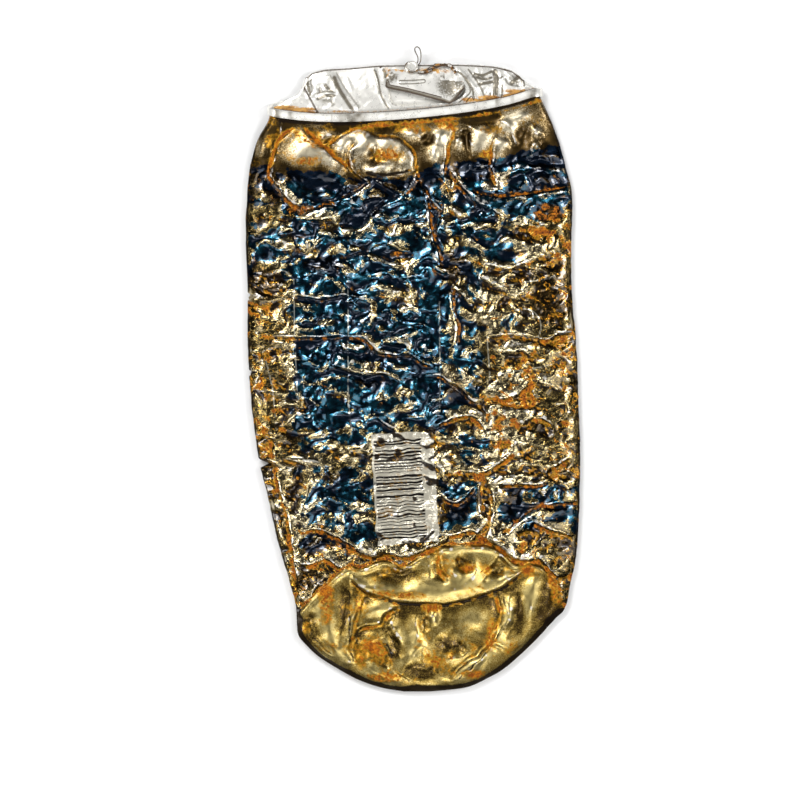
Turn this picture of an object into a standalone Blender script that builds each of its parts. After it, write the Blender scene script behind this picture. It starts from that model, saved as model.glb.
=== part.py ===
"""A half-litre drink can, flattened and rusted: the drawn steel body with its base folded up over the front,
the aluminium end still in its double seam, and the stub of the pull tab on the end's rivet.

The can lies on its back on z = 0. +Y runs from the base to the end, and +Z points up, out of the printed
front. Lengths in this file are millimetres, and MM turns them into metres where a mesh is made."""

import math

import bmesh
import bpy
import numpy as np
from mathutils import Matrix, Vector, noise

MM = 0.001
SHEET = 0.25  # the wall as modelled

# The double seam: its middle line runs round a flattened loop, and its section is offsets from that line,
# as (outward from the loop, along the can towards the end).
SEAM_OUT = 0.805
RIM_HALF = 1.63  # half the distance between the front and the back run of the seam's middle line
RIM_Z = RIM_HALF + SEAM_OUT  # so the seam's back face lies on z = 0
SEAM_OUTER_SKIN = [
    (SEAM_OUT, -1.25), (SEAM_OUT, 1.05), (0.5, 1.40), (0.0, 1.475), (-0.5, 1.40),
    (-SEAM_OUT, 1.05), (-SEAM_OUT, -1.1), (-0.98, -1.25), (-1.155, -1.1), (-1.155, 1.3),
]
SEAM_INNER_SKIN = [
    (0.555, -1.25), (0.555, 0.95), (0.35, 1.17), (0.0, 1.225), (-0.35, 1.17),
    (-0.555, 0.95), (-0.555, -1.25), (-0.98, -1.5), (-1.405, -1.25), (-1.405, 1.3),
]
HOOK_TOP, HOOK_FOOT = 0.8, -1.7  # where the body's straight flange ends inside and below the seam

# The rim as seen from above: its ends, and how far along the can its front and its back run lie.
RIM_LEFT, RIM_RIGHT = -45.7, 40.7
RIM_FRONT = [
    (-45.7, 80.7), (-35.4, 79.3), (-22.9, 78.8), (-7.8, 79.4), (5.3, 80.5), (18.2, 82.1), (29.2, 84.1),
    (37.0, 86.4), (40.7, 87.1),
]
RIM_BACK = [
    (-45.7, 81.9), (-38.5, 83.4), (-29.8, 84.0), (-0.3, 83.5), (21.0, 84.7), (36.5, 87.0), (40.7, 87.5),
]

# The body's outline below the rim, from the top down to the lowest point of the folded base.
BODY_LEFT = [
    (-45.0, 79.0), (-48.9, 71.9), (-51.1, 64.4), (-52.3, 53.1), (-52.6, 40.6), (-52.0, 24.9), (-52.0, 9.2),
    (-51.1, -7.1), (-49.8, -19.0), (-48.2, -29.9), (-46.0, -38.4), (-43.8, -48.4), (-41.3, -58.4),
    (-38.5, -67.5), (-36.6, -76.0), (-36.3, -82.5), (-34.1, -86.0), (-30.1, -89.8), (-24.4, -93.5),
    (-17.5, -97.3), (-10.3, -99.8), (-2.8, -101.1),
]
BODY_RIGHT = [
    (40.1, 85.4), (42.9, 79.4), (45.8, 71.9), (47.9, 64.4), (50.1, 54.3), (49.8, 37.4), (50.1, 23.0),
    (51.4, 8.0), (52.0, -7.1), (52.6, -25.2), (52.3, -44.7), (51.4, -58.4), (49.8, -66.0), (47.9, -74.7),
    (44.5, -78.5), (37.6, -86.0), (29.2, -93.5), (22.9, -97.3), (17.9, -99.5), (12.9, -100.4), (5.3, -101.1),
]
FOLD_RADIUS = 0.5  # outside radius of the folded edges
FOLD_Z = 1.65  # height of the folded edges' middle
EDGE_RISE, FOOT_RISE, RIM_BLEND = 9.0, 7.0, 10.0  # how far in from an edge the sheets reach their full spread
PLATEAU_Z = 4.4

# The end's middle panel, pushed out and folded like a tent: its left edge, its ridge and its right edge.
PANEL_LEFT = [(-39.0, 84.7), (-35.6, 86.4), (-34.5, 88.6), (-33.4, 91.3)]
PANEL_RIDGE = [
    (-31.3, 92.8), (-27.6, 93.8), (-19.4, 94.3), (-10.3, 95.1), (14.1, 95.4), (25.4, 94.8), (31.0, 93.4),
]
PANEL_RIGHT = [(34.3, 90.7), (36.3, 89.3)]
PANEL_ROWS = [0.12, 0.3, 0.5, 0.7, 0.88, 1.0]
PANEL_PUFF = 1.15
TENT_FOOT = (-29.8, 80.7)  # the tent's left fold runs from here on the rim ...
TENT_TOP = (-34.0, 88.4)  # ... to here, and left of it the front sheet is pressed down
TENT_FOLD = 1.5  # how wide that fold's step is
PANEL_TURN = 0.8  # how far the panel's corners turn round its ends, in radians
MOUTH = [
    (-4.6, 83.4), (9.0, 84.4), (15.2, 85.4), (16.6, 87.6), (14.0, 90.0), (2.0, 90.4), (-4.4, 89.2),
    (-5.8, 86.2),
]
FLAP_UPPER = [(-6.9, 91.0), (-5.6, 93.4), (0.0, 93.7), (6.0, 93.8), (11.0, 93.5), (13.6, 92.0), (14.6, 90.0)]
FLAP_LOWER = [(-7.1, 89.6), (-5.4, 87.2), (0.6, 85.7), (6.0, 84.7), (10.8, 83.7), (13.6, 85.6), (14.8, 88.6)]
FLAP_HEIGHTS = [3.0, 3.85, 4.4, 4.65, 4.8]  # of its upper face, from its root in the panel to its free edge

RIVET_FOOT = (-0.3, 93.9, 2.95)
RIVET_AXIS = (0.0, 0.32, 0.947)
RIVET_PROFILE = [
    (0.0, -0.1), (0.9, -0.1), (0.9, 1.65), (1.75, 1.65), (1.75, 1.95), (1.6, 2.05), (1.35, 2.05),
    (1.25, 1.85), (0.0, 1.8),
]
ISLAND_HOLE, ISLAND_RADIUS, ISLAND_SHIFT = 1.2, 2.05, 0.35
ISLAND_LOW, ISLAND_THICK = 0.95, 0.4  # along the rivet, from its foot
LOOP_ROUTE = [
    (0.7, 95.5, 3.62), (1.5, 96.4, 3.62), (1.5, 98.0, 3.65), (0.75, 99.6, 3.65), (0.6, 100.7, 3.65),
    (1.3, 101.2, 3.6), (2.1, 100.6, 3.6), (2.5, 99.0, 3.65), (2.45, 97.2, 3.65), (2.0, 95.9, 3.65),
    (0.9, 94.9, 3.8),
]
LOOP_WIDTH, LOOP_THICK = 0.6, 0.34

# Creases and ridges of the crushed front, as (line, height, half-width). Below the neck lies a field of
# small crumples, which the noise in crumple() stands for.
BASE_EDGE = [
    (-37.0, -79.0), (-35.3, -75.6), (-27.8, -68.1), (-22.3, -63.1), (-15.8, -62.1), (-7.3, -60.1),
    (2.2, -58.6), (9.2, -55.6), (22.2, -55.1), (32.2, -61.1), (41.7, -63.1), (46.2, -70.6), (48.6, -76.0),
]
MOUTH_CREASE = [
    (-19.3, -66.1), (-13.8, -70.6), (-3.8, -73.1), (6.7, -73.6), (19.2, -71.6), (27.7, -68.6), (33.2, -64.6),
]
FOLDS = [
    ([(-40.8, 75.3), (-43.3, 66.8), (-40.3, 54.8), (-33.8, 51.3)], 0.7, 2.5),
    ([(-38.3, 70.3), (-31.8, 72.8), (-20.3, 62.3)], 0.8, 2.5),
    ([(-28.3, 69.8), (-16.8, 74.8), (-5.3, 72.3), (0.7, 66.3)], 0.9, 2.5),
    ([(-16.8, 70.3), (-19.3, 63.3), (-13.8, 58.3), (-22.3, 52.8), (-35.3, 53.8)], -0.9, 2.2),
    ([(9.7, 76.8), (10.2, 70.3), (8.7, 62.3)], -1.1, 2.0),
    ([(11.2, 63.3), (20.2, 52.8), (28.2, 48.3)], -1.0, 2.2),
    ([(17.2, 55.8), (28.2, 53.8), (49.2, 56.3)], -0.9, 2.2),
    ([(0.2, 59.3), (4.7, 45.8), (8.7, 30.8)], -1.0, 2.0),
    ([(-46.0, 10.8), (-16.8, 10.8), (-5.8, 5.3), (7.2, 1.8)], -0.8, 2.0),
    ([(22.2, 10.8), (33.7, 11.3), (51.2, 12.8)], -0.8, 2.0),
    ([(1.7, -1.2), (14.7, -5.7), (20.7, -9.2), (36.0, -4.5)], -0.8, 2.0),
    ([(-37.3, -51.2), (-23.8, -52.2), (-12.3, -58.2)], 0.8, 2.4),
    ([(8.7, -32.2), (27.2, -28.7), (31.2, -25.2)], 0.8, 2.2),
    ([(25.7, -35.7), (40.2, -35.2), (49.2, -27.2)], -0.8, 2.2),
    ([(23.0, -53.0), (30.2, -50.7), (41.7, -41.7), (52.0, -40.7)], -0.9, 2.2),
    ([(-16.8, -69.2), (-19.8, -83.2), (-15.8, -92.7)], -0.8, 2.5),
    ([(27.7, -69.7), (30.7, -80.2), (26.2, -89.2), (15.7, -96.7)], -0.8, 2.5),
    ([(-3.3, -73.2), (-15.8, -81.2)], -0.8, 2.0),
]
# Tears in the left folded edge, as (mouth on the edge, tip, opening).
TEARS = [
    ((-52.6, 23.2), (-50.2, 22.9), 1.0), ((-52.2, -0.9), (-50.2, -0.8), 1.0),
    ((-48.8, -28.6), (-43.5, -31.0), 1.7),
]

# The field of small crumples, as (length across the can, length along it, height, layer of the noise), and
# where it fades out towards the neck and the base.
CRUMPLES = [(15.0, 9.0, 0.75, 3.1), (8.0, 5.0, 0.45, 8.7)]
NECK_Y, NECK_FADE, BASE_FADE = 76.0, 26.0, 6.0
# The folded base: how high it and its lip lie over the plateau, and how far the disc drops under the lip.
BASE_LIFT, BASE_STEP, DISC_DROP, LIP_STEP = 0.55, 4.0, 0.75, 2.0
LIP_LIFT, LIP_MIDDLE, LIP_HALF = 0.8, 4.5, 3.5

CUTTER_LOW, CUTTER_HIGH = -1.0, 8.0  # the cutters reach past the whole can

# The rows follow the rim's own curve less and less towards the base, and the folds thicken over this length
# to meet the seam.
RIM_FADE, FLANGE_LENGTH = 1.5, 12.0
COLUMNS, BODY_ROWS = 25, 38
FOLD_ANGLES = [math.radians(45), math.radians(90), math.radians(135)]


def smooth(points, steps=8):
    """A denser line through the points, as a Catmull-Rom curve."""
    p = np.array([points[0], *points, points[-1]], float)
    out = []
    for i in range(1, len(p) - 2):
        for t in np.arange(steps) / steps:
            a = 2 * p[i]
            b = p[i + 1] - p[i - 1]
            c = 2 * p[i - 1] - 5 * p[i] + 4 * p[i + 1] - p[i + 2]
            d = -p[i - 1] + 3 * p[i] - 3 * p[i + 1] + p[i + 2]
            out.append((a + b * t + c * t * t + d * t**3) / 2)
    out.append(p[-2])
    return np.array(out)


def lengths(line):
    """Distance along the line at each of its points."""
    return np.concatenate([[0.0], np.cumsum(np.linalg.norm(np.diff(line, axis=0), axis=1))])


def resample(line, count):
    """So many points, evenly spaced along the line."""
    along = lengths(line)
    at = np.linspace(0, along[-1], count)
    return np.stack([np.interp(at, along, line[:, axis]) for axis in range(line.shape[1])], axis=1)


def distance(x, y, line):
    """Distance in plan from the point to the line."""
    a, b = line[:-1], line[1:]
    ab = b - a
    ap = np.array([x, y]) - a
    t = np.clip((ap * ab).sum(axis=1) / (ab * ab).sum(axis=1), 0, 1)
    return float(np.sqrt(((ap - ab * t[:, None]) ** 2).sum(axis=1)).min())


def below(x, y, line):
    """How far the point lies below the line, which runs from left to right."""
    return float(np.interp(x, line[:, 0], line[:, 1])) - y


def rise(t):
    """0 up to t = 0, 1 from t = 1 on, smooth between."""
    t = min(max(t, 0.0), 1.0)
    return t * t * (3 - 2 * t)


LEFT_EDGE, RIGHT_EDGE = smooth(BODY_LEFT), smooth(BODY_RIGHT)
RIM_LINES = {"front": smooth(RIM_FRONT), "back": smooth(RIM_BACK)}
BASE_LINE, MOUTH_LINE = smooth(BASE_EDGE), smooth(MOUTH_CREASE)
FOLD_LINES = [(smooth(points), height, width) for points, height, width in FOLDS]
OUTLINE = np.concatenate([LEFT_EDGE, RIGHT_EDGE[::-1]])


def rim_row(side, along):
    """Plan points of the seam's middle line on one side, moved along the can."""
    line = RIM_LINES[side]
    x = np.linspace(RIM_LEFT + RIM_Z, RIM_RIGHT - RIM_Z, COLUMNS)
    return [Vector((a, float(np.interp(a, line[:, 0], line[:, 1])) + along)) for a in x]


def crumple(x, y):
    """The small crumples: longer across the can than along it, fading out on the smooth neck and base."""
    field = rise((NECK_Y - y) / NECK_FADE) * rise(-below(x, y, BASE_LINE) / BASE_FADE)
    total = 0.0
    for wide, tall, height, layer in CRUMPLES:
        total += height * noise.noise(Vector((x / wide, y / tall, layer)))
    return field * total


def plateau(x, y):
    """Height of the front sheet away from its edges."""
    z = PLATEAU_Z + crumple(x, y)
    for line, height, width in FOLD_LINES:
        z += height * math.exp(-((distance(x, y, line) / width) ** 2))
    on_base = rise(below(x, y, BASE_LINE) / BASE_STEP)
    under_lip = below(x, y, MOUTH_LINE)
    disc, lip = 0.0, 0.0
    if MOUTH_CREASE[0][0] < x < MOUTH_CREASE[-1][0]:
        disc = rise((under_lip + LIP_STEP / 2) / LIP_STEP)
        lip = math.exp(-((under_lip + LIP_MIDDLE) / LIP_HALF) ** 2)
    return z + on_base * (BASE_LIFT - DISC_DROP * disc + LIP_LIFT * lip)


def ring(front, back, left_out, right_out, centre, radius):
    """One closed row of points round a flattened tube: the front from left to right, the right fold,
    the back from right to left and the left fold. front and back are points with their heights."""

    def fold(start, end, out):
        for angle in FOLD_ANGLES:
            share = angle / math.pi
            reach = radius * math.sin(angle)
            x = start.x + (end.x - start.x) * share + out.x * reach
            y = start.y + (end.y - start.y) * share + out.y * reach
            yield Vector((x, y, centre + radius * math.cos(angle)))

    right = list(fold(front[-1], back[-1], right_out))
    left = list(fold(front[0], back[0], left_out))
    return front + right + back[::-1] + left[::-1]


def flat_ring(along, offset):
    """A ring of the seam or of the body's flange, this far along and out from the seam's middle line."""
    radius = RIM_HALF + offset
    front = [Vector((*p, RIM_Z + radius)) for p in rim_row("front", along)]
    back = [Vector((*p, RIM_Z - radius)) for p in rim_row("back", along)]
    return ring(front, back, Vector((-1, 0)), Vector((1, 0)), RIM_Z, radius)


def end_strips(last, outs, centre, radius):
    """The rows of points that close a flattened tube past its last ring, one row per angle of the fold."""
    n = COLUMNS
    front, right = last[:n], last[n : n + 3]
    back, left = last[n + 3 : 2 * n + 3][::-1], last[2 * n + 3 :][::-1]
    rows = []
    for k, angle in enumerate(FOLD_ANGLES):
        share = angle / math.pi
        row = [left[k]]
        for i in range(1, n - 1):
            middle = front[i].lerp(back[i], share)
            reach = radius * math.sin(angle)
            height = centre + radius * math.cos(angle)
            row.append(Vector((middle.x + outs[i].x * reach, middle.y + outs[i].y * reach, height)))
        rows.append([*row, right[k]])
    return rows


def add_skin(mesh, rings, strips):
    """Adds one skin of a flattened tube to the bmesh, and returns its first ring's vertices."""
    n = COLUMNS
    made = [[mesh.verts.new(p * MM) for p in points] for points in rings]
    for one, two in zip(made, made[1:]):
        for i in range(len(one)):
            j = (i + 1) % len(one)
            mesh.faces.new((one[i], one[j], two[j], two[i]))
    last = made[-1]
    lines = [last[:n]]
    for k, row in enumerate(strips):
        inner = [mesh.verts.new(p * MM) for p in row[1:-1]]
        lines.append([last[2 * n + 5 - k], *inner, last[n + k]])
    lines.append(last[n + 3 : 2 * n + 3][::-1])
    for one, two in zip(lines, lines[1:]):
        for i in range(n - 1):
            mesh.faces.new((one[i], one[i + 1], two[i + 1], two[i]))
    return made[0]


def finish_mesh(mesh, name, smooth_angle=35):
    """Turns the bmesh into a named object with its faces out."""
    bmesh.ops.recalc_face_normals(mesh, faces=mesh.faces)
    data = bpy.data.meshes.new(name)
    mesh.to_mesh(data)
    mesh.free()
    obj = bpy.data.objects.new(name, data)
    bpy.context.scene.collection.objects.link(obj)
    data.shade_smooth()
    data.set_sharp_from_angle(angle=math.radians(smooth_angle))
    return obj


def shell(name, outer, inner):
    """A sheet-metal bag, open at its first ring. outer and inner are (rings, closing strips)."""
    mesh = bmesh.new()
    one = add_skin(mesh, *outer)
    two = add_skin(mesh, *inner)
    for i in range(len(one)):
        j = (i + 1) % len(one)
        mesh.faces.new((one[i], one[j], two[j], two[i]))
    return finish_mesh(mesh, name)


def out_of(line, y, side):
    """The direction that points out of the body's outline at this height, on the left (-1) or right (+1)."""
    step = 1.5
    x = np.interp([-(y + step), -(y - step)], -line[:, 1], line[:, 0])
    slope = (x[0] - x[1]) / (2 * step)
    return Vector((side, -side * slope)).normalized()


def body_rows():
    """Each row of the body: front and back plan points, fold directions, fold centre and radius."""
    top, bottom = LEFT_EDGE[0][1], LEFT_EDGE[-1][1]
    heights = resample(LEFT_EDGE, BODY_ROWS + 1)[1:, 1]
    rows = []
    for k, y in enumerate(heights):
        fade = ((y - bottom) / (top - bottom)) ** RIM_FADE
        widen = 1 - rise((top - y) / FLANGE_LENGTH)
        radius = FOLD_RADIUS + (RIM_HALF + SHEET / 2 - FOLD_RADIUS) * widen
        centre = FOLD_Z + (RIM_Z - FOLD_Z) * widen
        plan = {}
        for side in ("front", "back"):
            rim = rim_row(side, HOOK_FOOT)
            ys = [y + (p.y - top) * fade for p in rim]
            ends = []
            for edge, way, at in ((LEFT_EDGE, -1, ys[0]), (RIGHT_EDGE, 1, ys[-1])):
                out = Vector((0, -1)) if k == BODY_ROWS - 1 else out_of(edge, at, way)
                x = float(np.interp(-at, -edge[:, 1], edge[:, 0]))
                ends.append((Vector((x, at)) - out * radius, out))
            (left, left_out), (right, right_out) = ends
            points = []
            for i, column_y in enumerate(ys):
                u = i / (COLUMNS - 1)
                lift = (left.y - ys[0]) * (1 - u) + (right.y - ys[-1]) * u
                points.append(Vector((left.x + (right.x - left.x) * u, column_y + lift)))
            plan[side] = points
        rows.append((plan["front"], plan["back"], left_out, right_out, centre, radius))
    return rows


def body_skin(rows, inward):
    """The rings and closing strips of the body's outer skin, or of the skin that lies inward of it."""
    rings = [flat_ring(along, SHEET / 2 - inward) for along in (HOOK_TOP, HOOK_FOOT)]
    for front_plan, back_plan, left_out, right_out, centre, radius in rows:
        front, back = [], []
        for i, (f, b) in enumerate(zip(front_plan, back_plan)):
            spread, foot = 0.0, 0.0
            if 0 < i < COLUMNS - 1:
                spread = rise((distance(f.x, f.y, OUTLINE) - radius) / EDGE_RISE)
                foot = rise((distance(b.x, b.y, OUTLINE) - radius) / FOOT_RISE)
            under_rim = float(np.interp(f.x, *RIM_LINES["front"].T)) - f.y + HOOK_FOOT
            near_rim = rise(under_rim / RIM_BLEND)
            target = plateau(f.x, f.y) * near_rim + (RIM_Z + RIM_HALF + SHEET / 2) * (1 - near_rim)
            front.append(Vector((*f, centre + radius + (target - centre - radius) * spread - inward)))
            back.append(Vector((*b, (centre - radius) * (1 - foot * rise(under_rim / FOOT_RISE)) + inward)))
        rings.append(ring(front, back, left_out, right_out, centre, radius - inward))
    outs = [Vector((0, -1))] * COLUMNS
    return rings, end_strips(rings[-1], outs, rows[-1][4], rows[-1][5] - inward)


def tear_cutter(mouth, tip, opening):
    """A wedge through the folded edge, wide at its mouth."""
    mouth, tip = Vector(mouth), Vector(tip)
    along = (mouth - tip).normalized()
    across = Vector((-along.y, along.x)) * opening / 2
    mouth += along
    corners = [mouth + across, tip, mouth - across]
    mesh = bmesh.new()
    low = [mesh.verts.new(Vector((*c, CUTTER_LOW)) * MM) for c in corners]
    high = [mesh.verts.new(Vector((*c, CUTTER_HIGH)) * MM) for c in corners]
    mesh.faces.new(low)
    mesh.faces.new(high)
    for i in range(3):
        mesh.faces.new((low[i], low[(i + 1) % 3], high[(i + 1) % 3], high[i]))
    return finish_mesh(mesh, "tear_cutter")


def prism(name, outline, low, high):
    """A straight prism on a closed plan outline."""
    mesh = bmesh.new()
    bottom = [mesh.verts.new(Vector((*p, low)) * MM) for p in outline]
    top = [mesh.verts.new(Vector((*p, high)) * MM) for p in outline]
    mesh.faces.new(bottom)
    mesh.faces.new(top)
    for i in range(len(outline)):
        j = (i + 1) % len(outline)
        mesh.faces.new((bottom[i], bottom[j], top[j], top[i]))
    return finish_mesh(mesh, name)


def helper(obj, target, operation):
    """Makes obj a Boolean's hidden operand on the target."""
    obj.hide_render = True
    obj.display_type = "WIRE"
    boolean = target.modifiers.new(obj.name, "BOOLEAN")
    boolean.operation = operation
    boolean.object = obj
    boolean.solver = "EXACT"


def steel_body():
    rows = body_rows()
    body = shell("can_body", body_skin(rows, 0.0), body_skin(rows, SHEET))
    for tear in TEARS:
        helper(tear_cutter(*tear), body, "DIFFERENCE")
    return body


def panel_plan(side):
    """Rows of plan points for one side of the tent, from the seam's chuck wall up to the ridge."""
    foot = rim_row(side, SEAM_OUTER_SKIN[-1][1])
    left = resample(smooth([tuple(foot[0]), *PANEL_LEFT]), 40)
    right = resample(smooth([tuple(foot[-1]), *PANEL_RIGHT[::-1]]), 40)
    ridge = resample(smooth([PANEL_LEFT[-1], *PANEL_RIDGE, PANEL_RIGHT[0]]), COLUMNS)
    rows = []
    for t in PANEL_ROWS:
        at = t * (len(left) - 1)
        a = Vector([np.interp(at, range(len(left)), left[:, axis]) for axis in (0, 1)])
        b = Vector([np.interp(at, range(len(right)), right[:, axis]) for axis in (0, 1)])
        row = []
        for i in range(COLUMNS):
            u = i / (COLUMNS - 1)
            sides = a * (1 - u) + b * u
            ends = foot[i] * (1 - t) + Vector(ridge[i]) * t
            corners_low = foot[0] * (1 - u) + foot[-1] * u
            corners_high = Vector(ridge[0]) * (1 - u) + Vector(ridge[-1]) * u
            row.append(sides + ends - corners_low * (1 - t) - corners_high * t)
        rows.append(row)
    return rows


def left_of_tent(x, y):
    """1 well left of the tent's left fold, 0 right of it."""
    (x0, y0), (x1, y1) = TENT_FOOT, TENT_TOP
    side = (x - x0) * (y1 - y0) - (y - y0) * (x1 - x0)
    return rise(0.5 - side / math.hypot(x1 - x0, y1 - y0) / TENT_FOLD)


def end_skin(outer):
    """The rings and closing strips of the end's outer or inner skin."""
    section = SEAM_OUTER_SKIN if outer else SEAM_INNER_SKIN
    rings = [flat_ring(along, offset) for offset, along in section]
    start = RIM_HALF + section[-1][0]
    radius = start
    for t, front_plan, back_plan in zip(PANEL_ROWS, panel_plan("front"), panel_plan("back")):
        front, back = [], []
        for i, (f, b) in enumerate(zip(front_plan, back_plan)):
            u = i / (COLUMNS - 1)
            swell = math.sin(math.pi * min(t, 0.999)) ** 0.7 * math.sin(math.pi * u) ** 0.4
            up = PANEL_PUFF * swell * (1 - left_of_tent(f.x, f.y))
            front.append(Vector((*f, RIM_Z + radius + up)))
            back.append(Vector((*b, RIM_Z - radius - 0.5 * swell)))
        turn = PANEL_TURN * t
        left_out = Vector((-math.cos(turn), math.sin(turn)))
        right_out = Vector((math.cos(turn), math.sin(turn)))
        rings.append(ring(front, back, left_out, right_out, RIM_Z, radius))
    turns = [PANEL_TURN + (math.pi - 2 * PANEL_TURN) * i / (COLUMNS - 1) for i in range(COLUMNS)]
    outs = [Vector((-math.cos(a), math.sin(a))) for a in turns]
    return rings, end_strips(rings[-1], outs, RIM_Z, radius)


def plate(name, upper, lower, heights, thickness, columns=9):
    """A curved sheet between two plan edges, with a height for each row of its upper face."""
    top_edge, low_edge = resample(smooth(upper), columns), resample(smooth(lower), columns)
    mesh = bmesh.new()
    grids = []
    for drop in (0.0, thickness):
        grid = []
        for k, height in enumerate(heights):
            t = k / (len(heights) - 1)
            row = top_edge * (1 - t) + low_edge * t
            grid.append([mesh.verts.new(Vector((*p, height - drop)) * MM) for p in row])
        grids.append(grid)
    for grid in grids:
        for one, two in zip(grid, grid[1:]):
            for i in range(columns - 1):
                mesh.faces.new((one[i], one[i + 1], two[i + 1], two[i]))
    borders = []
    for grid in grids:
        right = [row[-1] for row in grid[1:-1]]
        left = [row[0] for row in grid[1:-1]]
        borders.append(grid[0] + right + grid[-1][::-1] + left[::-1])
    one, two = borders
    for i in range(len(one)):
        j = (i + 1) % len(one)
        mesh.faces.new((one[i], one[j], two[j], two[i]))
    return finish_mesh(mesh, name)


def rivet_frame():
    """The rivet's own axes: its foot at the origin and its axis along z."""
    turn = Vector((0, 0, 1)).rotation_difference(Vector(RIVET_AXIS).normalized())
    return Matrix.Translation(Vector(RIVET_FOOT)) @ turn.to_matrix().to_4x4()


def turned(name, profile, segments=24):
    """A solid turned about the rivet's axis. The profile starts and ends on that axis."""
    frame = rivet_frame()
    mesh = bmesh.new()
    ends = [mesh.verts.new(frame @ Vector((0, 0, z)) * MM) for _, z in (profile[0], profile[-1])]
    rows = []
    for radius, z in profile[1:-1]:
        angles = [math.tau * i / segments for i in range(segments)]
        points = [frame @ Vector((radius * math.cos(a), radius * math.sin(a), z)) for a in angles]
        rows.append([mesh.verts.new(p * MM) for p in points])
    for i in range(segments):
        j = (i + 1) % segments
        mesh.faces.new((ends[0], rows[0][j], rows[0][i]))
        mesh.faces.new((ends[1], rows[-1][i], rows[-1][j]))
        for one, two in zip(rows, rows[1:]):
            mesh.faces.new((one[i], one[j], two[j], two[i]))
    return finish_mesh(mesh, name)


def aluminium_end():
    end = shell("can_end", end_skin(True), end_skin(False))
    helper(turned("rivet", RIVET_PROFILE), end, "UNION")
    mouth = resample(smooth([*MOUTH, MOUTH[0]], 4), 21)[:-1]
    helper(prism("mouth_cutter", mouth, RIM_Z, CUTTER_HIGH), end, "DIFFERENCE")
    helper(plate("torn_flap", FLAP_UPPER, FLAP_LOWER, FLAP_HEIGHTS, SHEET), end, "UNION")
    return end


def island(name, segments=28):
    """The tab's last ring round the rivet, wider on its left."""
    frame = rivet_frame()
    mesh = bmesh.new()
    rows = []
    low, high = ISLAND_LOW, ISLAND_LOW + ISLAND_THICK
    for radius, shift, z in (
        (ISLAND_HOLE, 0.0, low), (ISLAND_RADIUS, -ISLAND_SHIFT, low),
        (ISLAND_RADIUS, -ISLAND_SHIFT, high), (ISLAND_HOLE, 0.0, high),
    ):
        angles = [math.tau * i / segments for i in range(segments)]
        points = [frame @ Vector((shift + radius * math.cos(a), radius * math.sin(a), z)) for a in angles]
        rows.append([mesh.verts.new(p * MM) for p in points])
    for one, two in zip(rows, rows[1:] + rows[:1]):
        for i in range(segments):
            j = (i + 1) % segments
            mesh.faces.new((one[i], one[j], two[j], two[i]))
    return finish_mesh(mesh, name)


def strip_along(name, route, width, thickness):
    """A flat strip swept along a route in plan, standing on its edge."""
    line = resample(smooth(route, 6), 30)
    mesh = bmesh.new()
    rings = []
    for i, point in enumerate(line):
        ahead = Vector(line[min(i + 1, len(line) - 1)] - line[max(i - 1, 0)]).normalized()
        side = ahead.cross(Vector((0, 0, 1))).normalized() * thickness / 2
        up = side.cross(ahead).normalized() * width / 2
        corners = [side + up, side - up, -side - up, -side + up]
        rings.append([mesh.verts.new((Vector(point) + c) * MM) for c in corners])
    for one, two in zip(rings, rings[1:]):
        for i in range(4):
            mesh.faces.new((one[i], one[(i + 1) % 4], two[(i + 1) % 4], two[i]))
    mesh.faces.new(rings[0])
    mesh.faces.new(rings[-1][::-1])
    return finish_mesh(mesh, name)


def pull_tab_stub():
    stub = island("tab_stub")
    helper(strip_along("twisted_loop", LOOP_ROUTE, LOOP_WIDTH, LOOP_THICK), stub, "UNION")
    return stub


def material(obj, colour, roughness, metallic):
    made = bpy.data.materials.new(obj.name)
    made.use_nodes = True
    shader = made.node_tree.nodes["Principled BSDF"]
    shader.inputs["Base Color"].default_value = (*colour, 1.0)
    shader.inputs["Roughness"].default_value = roughness
    shader.inputs["Metallic"].default_value = metallic
    obj.data.materials.append(made)


def main():
    for obj in list(bpy.data.objects):
        bpy.data.objects.remove(obj, do_unlink=True)
    material(steel_body(), (0.32, 0.20, 0.06), 0.35, 0.8)
    material(aluminium_end(), (0.75, 0.74, 0.71), 0.3, 1.0)
    material(pull_tab_stub(), (0.72, 0.70, 0.66), 0.3, 1.0)


main()
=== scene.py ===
"""The looks of the flattened drink can: crumpled, rusted steel with worn gold and blue lacquer, and a
bright end.

Lengths are millimetres in the frame's axes, and MM turns them into metres where a mesh is made.
The body's relief is worked out once on a fine plan raster, as creases over crumples made of noise. The
body's mesh and its masks of rust, of wear and painted highlights, and of grime and painted shade are all read
from it."""

import math
from functools import reduce
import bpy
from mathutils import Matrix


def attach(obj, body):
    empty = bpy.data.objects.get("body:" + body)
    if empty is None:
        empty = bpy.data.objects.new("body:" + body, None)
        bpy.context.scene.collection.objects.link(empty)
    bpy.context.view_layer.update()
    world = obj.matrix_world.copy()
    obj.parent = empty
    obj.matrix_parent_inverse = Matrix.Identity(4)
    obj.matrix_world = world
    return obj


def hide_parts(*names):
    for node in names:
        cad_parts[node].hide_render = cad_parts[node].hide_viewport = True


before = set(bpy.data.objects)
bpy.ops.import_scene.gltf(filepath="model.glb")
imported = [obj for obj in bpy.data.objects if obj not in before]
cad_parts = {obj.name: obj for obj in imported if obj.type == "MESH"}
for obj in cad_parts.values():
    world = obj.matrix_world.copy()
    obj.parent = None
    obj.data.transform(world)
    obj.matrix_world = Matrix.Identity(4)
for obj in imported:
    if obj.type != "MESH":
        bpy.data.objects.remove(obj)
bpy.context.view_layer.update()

from types import SimpleNamespace

import bmesh
import bpy
import numpy as np
from mathutils import Vector

MM = 0.001
TAU = 2 * math.pi

# ------------ sizes shared with the CAD part

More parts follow.
